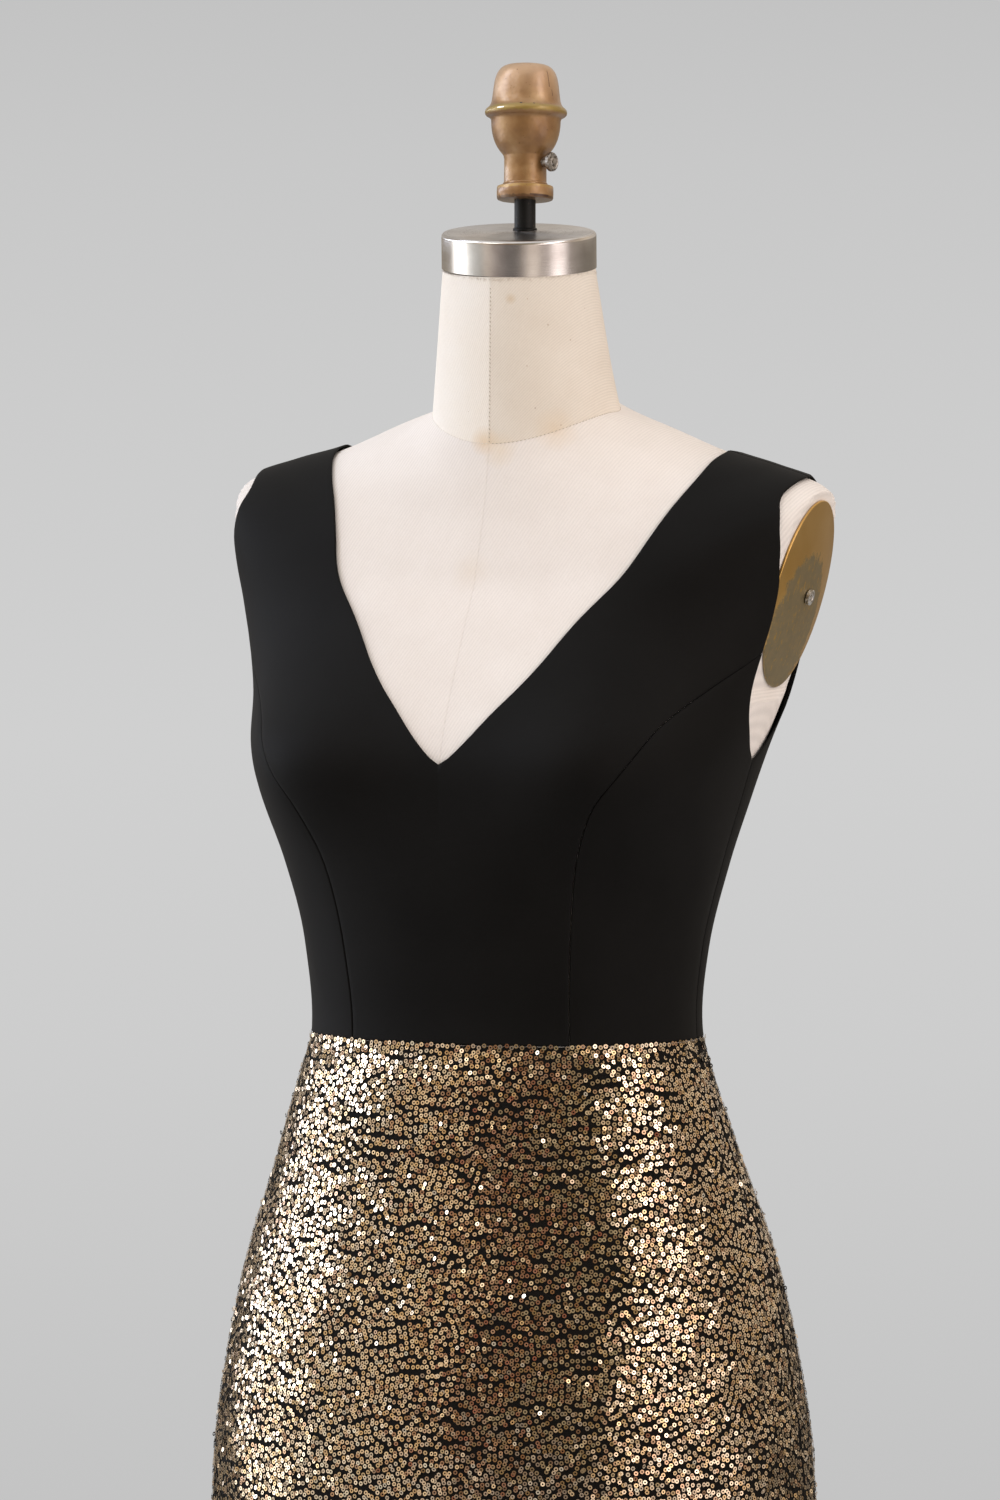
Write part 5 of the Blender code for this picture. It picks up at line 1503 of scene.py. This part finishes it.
def make_bronze_paint():
    material, tree, shader = new_material("worn_bronze_paint", {
        "Metallic": 0.55, "Coat Weight": 0.6, "Coat Roughness": 0.10})
    where = add_node(tree, "TexCoord").outputs["Object"]
    height, _, beside, behind = own_axis(tree, knob_matrix())
    ragged = add_node(tree, "TexNoise", {"Vector": where, "Scale": 300.0, "Detail": 5.0,
                                         "Roughness": 0.7})
    clouds = add_node(tree, "TexNoise", {"Vector": where, "Scale": 70.0, "Detail": 3.0})
    paint = add_node(tree, "ValToRGB", {"Fac": clouds})
    paint_ramp(paint, ((0.25, "#7d5935"), (0.5, "#977145"), (0.75, "#ad8b60")))
    # the dome is painted paler towards its top: a painted sheen of the light from above
    dome = add_node(tree, "MapRange", {"Value": height, "From Min": KNOB_DOME_PAINTED_SHEEN[0],
                                       "From Max": KNOB_DOME_PAINTED_SHEEN[1], "To Min": 0.0, "To Max": 0.6})
    colour = add_node(tree, "Mix", {0: dome, 6: paint, 7: srgb("#cdac8c")}, data_type="RGBA")
    rubbed = add_node(tree, "Math", {0: ragged, 1: KNOB_WEAR_RAGGED,
                                     2: -KNOB_WEAR_RAGGED / 2}, operation="MULTIPLY_ADD")
    for middle, half, worn in KNOB_WEAR:
        edge = add_node(tree, "Math", {0: distance_from(tree, height, middle), 1: rubbed},
                        operation="ADD")
        mask = add_node(tree, "MapRange", {"Value": edge, "From Min": 0.7 * half,
                                           "From Max": 1.2 * half, "To Min": 0.85, "To Max": 0.0})
        colour = add_node(tree, "Mix", {0: mask, 6: colour, 7: srgb(worn)}, data_type="RGBA")
    chips = add_node(tree, "ValToRGB", {"Fac": ragged})
    paint_ramp(chips, ((0.66, "#000000"), (0.70, "#ffffff")))
    colour = add_node(tree, "Mix", {0: chips, 6: colour, 7: srgb("#6f4b2c")}, data_type="RGBA")
    flat = add_node(tree, "CombineXYZ", {"X": beside, "Y": behind, "Z": height})
    for turn, at_height, half_width, half_height, wobble, mark in KNOB_MARKS:
        angle = math.radians(turn)
        aside = add_node(tree, "VectorMath", {0: flat, 1: (math.cos(angle), math.sin(angle), 0)},
                         operation="DOT_PRODUCT")
        aside = add_node(tree, "Math", {0: clouds, 1: wobble * MM, 2: aside},
                         operation="MULTIPLY_ADD")
        aside = add_node(tree, "Math", {0: aside, 1: 0.5 * wobble * MM, 2: half_width * MM},
                         operation="COMPARE")
        facing = add_node(tree, "VectorMath", {0: flat, 1: (math.sin(angle), -math.cos(angle), 0)},
                          operation="DOT_PRODUCT")
        facing = add_node(tree, "Math", {0: facing, 1: 0.0}, operation="GREATER_THAN")
        level = add_node(tree, "Math", {0: height, 1: at_height * MM, 2: half_height * MM},
                         operation="COMPARE")
        both = add_node(tree, "Math", {0: aside, 1: facing}, operation="MULTIPLY")
        both = add_node(tree, "Math", {0: both, 1: level}, operation="MULTIPLY")
        colour = add_node(tree, "Mix", {0: both, 6: colour, 7: srgb(mark)}, data_type="RGBA")
    rough = add_node(tree, "MapRange", {"Value": ragged, "From Min": 0.3, "From Max": 0.7,
                                        "To Min": 0.36, "To Max": 0.56})
    bump = add_node(tree, "Bump", {"Height": ragged, "Strength": 0.35, "Distance": 0.0006})
    set_inputs(shader, {"Base Color": colour, "Roughness": rough, "Normal": bump,
                        "Coat Normal": bump})
    return material


BRONZE_PAINT = make_bronze_paint()
print("marks on the knob:", len(KNOB_MARKS))

# %% [markdown]
# The knob's outline runs from its flange up the narrow neck to the ridge and over the dome.

# %% Knob
KNOB_OUTLINE = (
    # radius, height above the foot, in millimetres
    (8.0, 0.0), (15.8, 0.0), (16.8, 0.4), (17.2, 1.4), (17.3, 4.5), (17.2, 7.8), (16.9, 8.5),
    (16.2, 8.8), (13.6, 9.0), (13.5, 9.5), (13.7, 9.9), (13.5, 10.5), (13.0, 10.9),
    (12.9, 18.0), (13.0, 25.6), (13.3, 26.3), (13.3, 26.9), (13.5, 27.4), (14.6, 28.9),
    (15.9, 30.5), (17.2, 32.4), (18.4, 34.6), (19.5, 37.3), (20.3, 40.2), (20.8, 43.0),
    (21.1, 45.8), (21.2, 48.5), (21.5, 49.8), (22.2, 50.6), (23.2, 51.1), (24.2, 51.7),
    (24.9, 52.6), (25.1, 53.8), (24.9, 55.0), (24.2, 56.0), (23.2, 56.8), (22.4, 57.6),
    (21.7, 58.8), (21.1, 60.6), (20.7, 63.0), (20.3, 66.2), (19.9, 69.5), (19.5, 72.4),
    (18.9, 75.0), (18.1, 77.4), (17.0, 79.3), (15.6, 81.0), (13.9, 82.2), (11.8, 83.0),
    (9.2, 83.4), (6.0, 83.5), (3.0, 83.5), (0.8, 83.5),
)
knob = turned_piece("bronze_knob", in_millimetres(KNOB_OUTLINE), 64, knob_matrix())
dress(knob, BRONZE_PAINT, "bronze_paint", "knob")

# %% [markdown]
# The rod's ends are slightly broken, and a small dark lip runs round it where it leaves
# the cap. The thumbscrew's head is knurled: its rim alternates between two radii, which
# the eye reads as fine grooves.

# %% Rod and thumbscrew
ROD_BEVEL = 0.0004
LIP_OUT, LIP_SIDE, LIP_TOP = 0.0009, 0.0006, 0.0013     # how far out, its two heights
LIP_CLEAR = 0.0002              # above the cap
SCREW_HEIGHT = 0.0225
SCREW_AZIMUTH = math.radians(78.0)
SCREW_OUTLINE = (
    # radius, distance from the knob's axis, in millimetres
    (2.4, 8.9), (2.5, 9.2), (2.5, 13.8), (3.1, 14.0), (3.1, 17.1), (3.4, 17.3), (5.2, 17.5),
    (5.9, 18.0), (5.9, 19.9), (5.3, 20.5), (4.6, 20.6), (4.2, 20.3), (2.6, 20.25), (2.2, 20.5),
    (0.6, 20.6),
)


def screw_matrix():
    direction = Vector((math.sin(SCREW_AZIMUTH), -math.cos(SCREW_AZIMUTH), 0.0))
    turn = direction.to_track_quat("Z", "X").to_matrix().to_4x4()
    return knob_matrix() @ Matrix.Translation((0.0, 0.0, SCREW_HEIGHT)) @ turn


def knurl(thing, matrix, reach, depth):
    """Pulls every second point of the rim towards the axis."""
    back = matrix.inverted()
    for number, point in enumerate(thing.data.vertices):
        local = back @ point.co
        if math.hypot(local.x, local.y) > reach and number % 2:
            local.xy = local.xy * (1 - depth)
            point.co = matrix @ local


cap_slope = cap_matrix()
cap_top = (cap_slope @ Vector((0.0, 0.0, CAP_HEIGHT))).z
at_pole = cap_slope.inverted() @ Vector((0.0, POLE_Y, cap_top))
lip = (cap_slope @ Vector((at_pole.x, at_pole.y, CAP_HEIGHT))).z - ROD_FOOT_Z + LIP_CLEAR
rod_height = ROD_TOP_Z - ROD_FOOT_Z
rod_outline = [(ROD_RADIUS - ROD_BEVEL, 0.0), (ROD_RADIUS, ROD_BEVEL), (ROD_RADIUS, lip),
               (ROD_RADIUS + LIP_OUT, lip), (ROD_RADIUS + LIP_OUT, lip + LIP_SIDE),
               (ROD_RADIUS, lip + LIP_TOP), (ROD_RADIUS, rod_height - ROD_BEVEL),
               (ROD_RADIUS - ROD_BEVEL, rod_height)]
rod = turned_piece("neck_rod_turned", rod_outline, 48,
                   Matrix.Translation((0.0, POLE_Y, ROD_FOOT_Z)))
dress(rod, BLACK_STEEL, "black_steel", "neck_rod")

screw = turned_piece("thumbscrew_knurled", in_millimetres(SCREW_OUTLINE), 48, screw_matrix())
knurl(screw, screw_matrix(), 5.6 * MM, 0.07)
screw.data.materials.append(DARKER_ZINC)
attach(screw, "knob_thumbscrew")
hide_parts("thumbscrew")

# %% [markdown]
# The arm plates are pressed brass, lacquered once. The lacquer has gone from the lower two
# thirds, where the metal turned grey-green and was scratched bright again in short curved
# strokes. The dome and its rim are one turned piece, squashed to an oval.

# %% Aged brass
PLATE_HALF_HEIGHT, PLATE_HALF_WIDTH = 0.0590, 0.0435
PLATE_CENTRE = (2.85, 134.5)        # y and z, in centimetres
PLATE_DOME, PLATE_RIM = 0.0055, 0.0014
# the patch of lost lacquer, lower and towards the front: axis, middle and half size
BARE_PATCH = (("Z", 1.3245, 0.045), ("Y", 0.024, 0.034))


def plate_matrix(side):
    """Local Z points out of the arm cut, local Y runs up it."""
    lean = math.atan(ARM_CUT["lean"])
    outward = Vector((side * math.cos(lean), 0.0, -math.sin(lean)))
    upward = Vector((side * math.sin(lean), 0.0, math.cos(lean)))
    turn = Matrix((upward.cross(outward), upward, outward)).transposed().to_4x4()
    y, z = PLATE_CENTRE
    place = Vector((side * float(arm_cut_x(z)), y, z)) * CM
    return Matrix.Translation(place + outward * SEAM_GAP) @ turn


def make_brass():
    material, tree, shader = new_material("aged_brass_plate", {"Metallic": 0.9})
    where = add_node(tree, "TexCoord").outputs["Object"]
    axes = add_node(tree, "SeparateXYZ", {"Vector": where})
    ragged = add_node(tree, "TexNoise", {"Vector": where, "Scale": 130.0, "Detail": 6.0,
                                         "Roughness": 0.75})
    clouds = add_node(tree, "TexNoise", {"Vector": where, "Scale": 30.0, "Detail": 2.0})
    bright = add_node(tree, "ValToRGB", {"Fac": clouds})
    paint_ramp(bright, ((0.3, "#cda257"), (0.7, "#d9b270")))
    patina = add_node(tree, "ValToRGB", {"Fac": ragged})
    paint_ramp(patina, ((0.3, "#8d8163"), (0.6, "#9c8b68"), (0.75, "#ad945e")))
    squares = []
    for axis, middle, half in BARE_PATCH:
        away = add_node(tree, "Math", {0: axes.outputs[axis], 1: middle}, operation="SUBTRACT")
        away = add_node(tree, "Math", {0: away, 1: 1 / half}, operation="MULTIPLY")
        squares.append(add_node(tree, "Math", {0: away, 1: 2.0}, operation="POWER"))
    oval = add_node(tree, "Math", {0: squares[0], 1: squares[1]}, operation="ADD")
    torn = add_node(tree, "Math", {0: ragged, 1: 1.1, 2: oval}, operation="MULTIPLY_ADD")
    patch = add_node(tree, "MapRange", {"Value": torn, "From Min": 1.45, "From Max": 1.60,
                                        "To Min": 1.0, "To Max": 0.0})
    colour = add_node(tree, "Mix", {0: patch, 6: bright, 7: patina}, data_type="RGBA")
    stretch = add_node(tree, "Mapping", {"Vector": where, "Scale": (1.0, 1.0, 0.22),
                                         "Rotation": (math.radians(-28), 0, 0)})
    strokes = add_node(tree, "TexNoise", {"Vector": stretch, "Scale": 520.0, "Detail": 2.0,
                                          "Distortion": 0.8})
    scratch = add_node(tree, "MapRange", {"Value": strokes, "From Min": 0.60, "From Max": 0.66,
                                          "To Min": 0.0, "To Max": 0.8})
    within = add_node(tree, "Math", {0: scratch, 1: patch}, operation="MULTIPLY")
    colour = add_node(tree, "Mix", {0: within, 6: colour, 7: srgb("#bd9950")}, data_type="RGBA")
    rough = add_node(tree, "MapRange", {"Value": patch, "From Min": 0.0, "From Max": 1.0,
                                        "To Min": 0.30, "To Max": 0.50})
    bump = add_node(tree, "Bump", {"Height": ragged, "Strength": 0.12, "Distance": 0.0004})
    set_inputs(shader, {"Base Color": colour, "Roughness": rough, "Normal": bump})
    return material


AGED_BRASS = make_brass()
print("left plate at", np.round(plate_matrix(1).translation, 3))

# %% [markdown]
# A plate's radii are shares of its half width and half height. The nut that holds it is
# a small turned dome.

# %% Arm plates and their nuts
PLATE_OUTLINE = [(0.985, 0.0), (1.0, 0.0004), (1.0, PLATE_RIM - 0.0002),
                 (0.992, PLATE_RIM + 0.0002)]
PLATE_OUTLINE += [(1 - k / 14, PLATE_RIM + PLATE_DOME * (1 - (1 - k / 14) ** 2) - 0.0001)
                  for k in range(1, 14)]
PLATE_OUTLINE += [(0.02, PLATE_RIM + PLATE_DOME)]
NUT_OUTLINE = ((4.2, 0.0), (4.8, 0.3), (4.8, 2.3), (4.2, 2.6), (2.3, 2.6), (1.9, 2.2), (1.7, 0.9))

for side_name, side in (("left", 1), ("right", -1)):
    squash = Matrix.Diagonal((PLATE_HALF_WIDTH, PLATE_HALF_HEIGHT, 1.0, 1.0))
    plate = turned_piece("brass_plate_" + side_name, PLATE_OUTLINE, 96, plate_matrix(side) @ squash)
    dress(plate, AGED_BRASS, "aged_brass", "arm_plate_" + side_name)
    seat = Matrix.Translation((0, 0, PLATE_RIM + PLATE_DOME + SEAM_GAP))
    nut = turned_piece("zinc_nut_" + side_name, in_millimetres(NUT_OUTLINE), 24,
                       plate_matrix(side) @ seat)
    dress(nut, BRIGHT_ZINC, "brushed_steel", "arm_nut_" + side_name)

# %% [markdown]
# The stand and the zip's metal already have the right shape, so they keep their solids
# and only get a finish.

# %% Pieces that keep their solids
for node, material in (("stand_pole", BLACK_STEEL), ("stand_base", BLACK_STEEL),
                       ("zip_slider", BLACK_STEEL), ("zip_pull", BLACK_STEEL)):
    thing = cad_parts[node]
    thing.data.materials.clear()
    thing.data.materials.append(material)
    print(node, "is finished in", material.name)

# %% [markdown]
# Mirrors show the room, so the room matters more than the lamps. Its walls are pale, and
# dimmer behind the camera. At the camera's left a tall, cool softbox leans over, at its
# right stands a smaller, warmer one, and two narrow red stripes give the gold its red
# glints. The sky of the scene holds the room as two ramps round the horizon, one for its
# upper and one for its lower part, which reflections and shadows see, while the camera
# itself sees grey paper with a painted falloff of light: brightest across the middle of
# the view and darker above and below.

# %% Studio
HIGH_ROOM = (
    # degrees from the camera, to its right positive: colour, strength
    (-180, "#d9d2ca", 0.68), (-92, "#d9d2ca", 0.85), (-76, "#d9d2ca", 0.70),
    (-64, "#f0dfc6", 0.90), (-54, "#f0dfc6", 0.96), (-46, "#ead8be", 0.92),
    (-40, "#cfc0a8", 0.66), (-38, "#a8201c", 0.66), (-36, "#a8201c", 0.66),
    (-34, "#b4a890", 0.60), (-24, "#aca088", 0.56), (-22, "#a8201c", 0.66),
    (-20, "#a8201c", 0.66), (-18, "#aca088", 0.56), (-2, "#aca088", 0.60),
    (9, "#b8ab92", 0.72), (20, "#d8c9b0", 0.85), (31, "#d8c9ba", 0.90), (35, "#fff1ee", 3.0),
    (52, "#fff1ee", 3.0), (58, "#d8c9ba", 0.90), (82, "#cbbba8", 0.82),
    (112, "#d8c9b6", 1.10), (150, "#d8cfc4", 1.00), (180, "#d9d2ca", 0.68),
)
LOW_ROOM = (
    (-180, "#d6c9b6", 0.48), (-136, "#d6c9b6", 0.50), (-120, "#d8d0c6", 0.60),
    (-112, "#ffffff", 2.6), (-88, "#ffffff", 2.6), (-82, "#f6f6f4", 1.10),
    (-60, "#dededa", 0.66), (-50, "#f0e2d4", 0.98), (-36, "#c2b6b0", 0.80),
    (-16, "#a8a09c", 0.50), (-1, "#a8a09c", 0.48), (8, "#d8cbc0", 0.78), (19, "#f0e2d6", 1.25),
    (26, "#f0e2d6", 1.15), (34, "#d4c6bc", 0.72), (46, "#e0d2ca", 0.82), (54, "#fff3f0", 1.90),
    (69, "#fff3f0", 1.80), (80, "#c8bcb2", 0.70), (115, "#b8ac9e", 0.44), (180, "#d6c9b6", 0.48),
)
LEAN_OF_ROOM = 60.0             # degrees that the upper room leans in a whole unit of height
LEVEL_OF_ROOM = 0.2             # the height where it stands as its table says
ROOM_JOIN = 0.06                # up to this height the lower room fades into the upper one
CEILING = (0.70, 0.80)          # where the walls fade into the ceiling
# the left softbox leans more: the heights of its foot and top, where they stand in degrees
# from the camera, half its width and half its soft edge
SOFTBOX_HEIGHTS = (0.02, 0.30)
SOFTBOX_TURNS = (-132.0, -90.0)
SOFTBOX_HALF, SOFTBOX_EDGE = 13.0, 2.5
SOFTBOX_LIGHT = "#e6eeff"       # a cool flash, so that the gold under it turns white
SOFTBOX_STRENGTH = 6.0
ROOM_SCALE = 8.0                # a ramp's colours end at 1, so they are stored this much smaller
CEILING_STRENGTH = 1.0
PAPER_WITH_PAINTED_FALLOFF = (
    # upward part of the line of sight: the grey paper's colour there, with a painted falloff of
    # light
    (-0.125, "#c2c2c2"), (-0.110, "#c6c6c6"), (-0.085, "#cdcdcd"), (-0.060, "#d0d0d0"),
    (-0.034, "#cccccc"), (-0.016, "#c8c8c8"), (-0.004, "#c3c3c3"),
)


def build_room():
    world = bpy.data.worlds.new("studio_room")
    bpy.context.scene.world = world
    world.use_nodes = True
    tree = world.node_tree
    tree.nodes.clear()
    sight = add_node(tree, "TexCoord").outputs["Generated"]
    # turn the room so that its zero looks from the dress to the camera
    facing = add_node(tree, "Mapping", {"Vector": sight,
                                        "Rotation": (0, 0, math.pi / 2 - CAMERA_AZIMUTH)})
    around = add_node(tree, "TexGradient", {"Vector": facing},
                      gradient_type="RADIAL").outputs["Fac"]
    height = add_node(tree, "SeparateXYZ", {"Vector": sight}).outputs["Z"]
    lean = add_node(tree, "Math", {0: height, 1: -LEAN_OF_ROOM / 360,
                                   2: LEAN_OF_ROOM / 360 * LEVEL_OF_ROOM},
                    operation="MULTIPLY_ADD")
    leaning = add_node(tree, "Math", {0: around, 1: lean}, operation="ADD")
    walls = []
    for table, turn in ((LOW_ROOM, around), (HIGH_ROOM, leaning)):
        wall = add_node(tree, "ValToRGB", {"Fac": turn})
        paint_ramp(wall, [((degrees + 180) / 360,
                           tuple(c * strength / ROOM_SCALE for c in srgb(colour)[:3]) + (1,))
                          for degrees, colour, strength in table])
        walls.append(wall)
    low_wall, high_wall = walls
    middle = add_node(tree, "MapRange", {"Value": height,
                                         "From Min": SOFTBOX_HEIGHTS[0],
                                         "From Max": SOFTBOX_HEIGHTS[1],
                                         "To Min": (180 + SOFTBOX_TURNS[0]) / 360,
                                         "To Max": (180 + SOFTBOX_TURNS[1]) / 360})
    softbox = add_node(tree, "MapRange", {"Value": distance_from(tree, around, middle),
                                          "From Min": (SOFTBOX_HALF - SOFTBOX_EDGE) / 360,
                                          "From Max": (SOFTBOX_HALF + SOFTBOX_EDGE) / 360,
                                          "To Min": 1.0, "To Max": 0.0})
    flash = tuple(c * SOFTBOX_STRENGTH / ROOM_SCALE for c in srgb(SOFTBOX_LIGHT)[:3])
    high_wall = add_node(tree, "Mix", {0: softbox, 6: high_wall, 7: (*flash, 1)},
                         data_type="RGBA")
    rise = add_node(tree, "MapRange", {"Value": height, "From Min": 0.0, "From Max": ROOM_JOIN})
    wall = add_node(tree, "Mix", {0: rise, 6: low_wall, 7: high_wall}, data_type="RGBA")
    up = add_node(tree, "MapRange", {"Value": height, "From Min": CEILING[0],
                                     "From Max": CEILING[1]})
    ceiling = (*[CEILING_STRENGTH / ROOM_SCALE] * 3, 1)
    room = add_node(tree, "Mix", {0: up, 6: wall, 7: ceiling}, data_type="RGBA")
    lit = add_node(tree, "Background", {"Color": room, "Strength": ROOM_SCALE})
    lowest, highest = PAPER_WITH_PAINTED_FALLOFF[0][0], PAPER_WITH_PAINTED_FALLOFF[-1][0]
    upward = add_node(tree, "MapRange", {"Value": height, "From Min": lowest,
                                         "From Max": highest})
    # the paper's grey carries a painted falloff of light: brightest across the middle, darker above
    # and below
    paper = add_node(tree, "ValToRGB", {"Fac": upward})
    paint_ramp(paper, [((z - lowest) / (highest - lowest), colour) for z, colour in PAPER_WITH_PAINTED_FALLOFF])
    plain = add_node(tree, "Background", {"Color": paper, "Strength": 1.0})
    ray = add_node(tree, "LightPath")
    seen = add_node(tree, "MixShader", {0: ray.outputs["Is Camera Ray"], 1: lit, 2: plain})
    add_node(tree, "OutputWorld", {"Surface": seen})


build_room()
print("places round the room: %d low, %d high" % (len(LOW_ROOM), len(HIGH_ROOM)))

# %% [markdown]
# Three soft lamps give the cloth its shape. Two of them are seen in the metal as well; the
# third only fills the shadows in front. The floor is there to catch a shadow, so it is
# part of the stage and not of the dress.

# %% Lamps
LAMPS = (
    # name           azimuth elevation distance width height watts mirrored
    ("key_softbox",  -48.0,  42.0,     4.5,     1.6,  1.6,   19.0, True),
    ("fill_softbox", 50.0,   35.0,     5.0,     1.2,  1.6,   18.0, True),
    ("front_bounce", 24.0,   6.0,      5.0,     1.6,  2.0,   40.0, False),
)


def add_lamp(name, azimuth, elevation, distance, width, height, watts, mirrored):
    """A soft rectangular light that looks at the chest; azimuth is from the camera.

    A light that isn't mirrored is too soft and low to be made out in a sequin.
    """
    around = CAMERA_AZIMUTH + math.radians(azimuth)
    rise = math.radians(elevation)
    direction = Vector((math.sin(around) * math.cos(rise), -math.cos(around) * math.cos(rise),
                        math.sin(rise)))
    data = bpy.data.lights.new(name, "AREA")
    data.shape = "RECTANGLE"
    data.size = width
    data.size_y = height
    data.energy = watts
    lamp = bpy.data.objects.new(name, data)
    lamp.location = CAMERA_AIM + direction * distance
    lamp.rotation_euler = direction.to_track_quat("Z", "Y").to_euler()
    lamp.visible_glossy = mirrored
    bpy.context.scene.collection.objects.link(lamp)


for lamp in LAMPS:
    add_lamp(*lamp)
print("lamps:", len(LAMPS))

FLOOR_RADIUS = 4.0
deselect_all()
bpy.ops.mesh.primitive_circle_add(vertices=128, radius=FLOOR_RADIUS, fill_type="NGON",
                                  location=(0, 0, 0))
floor = bpy.context.object
floor.name = "floor"
pale_floor = new_material("pale_floor", {"Base Color": srgb("#adadad"), "Roughness": 0.9})[0]
floor.data.materials.append(pale_floor)
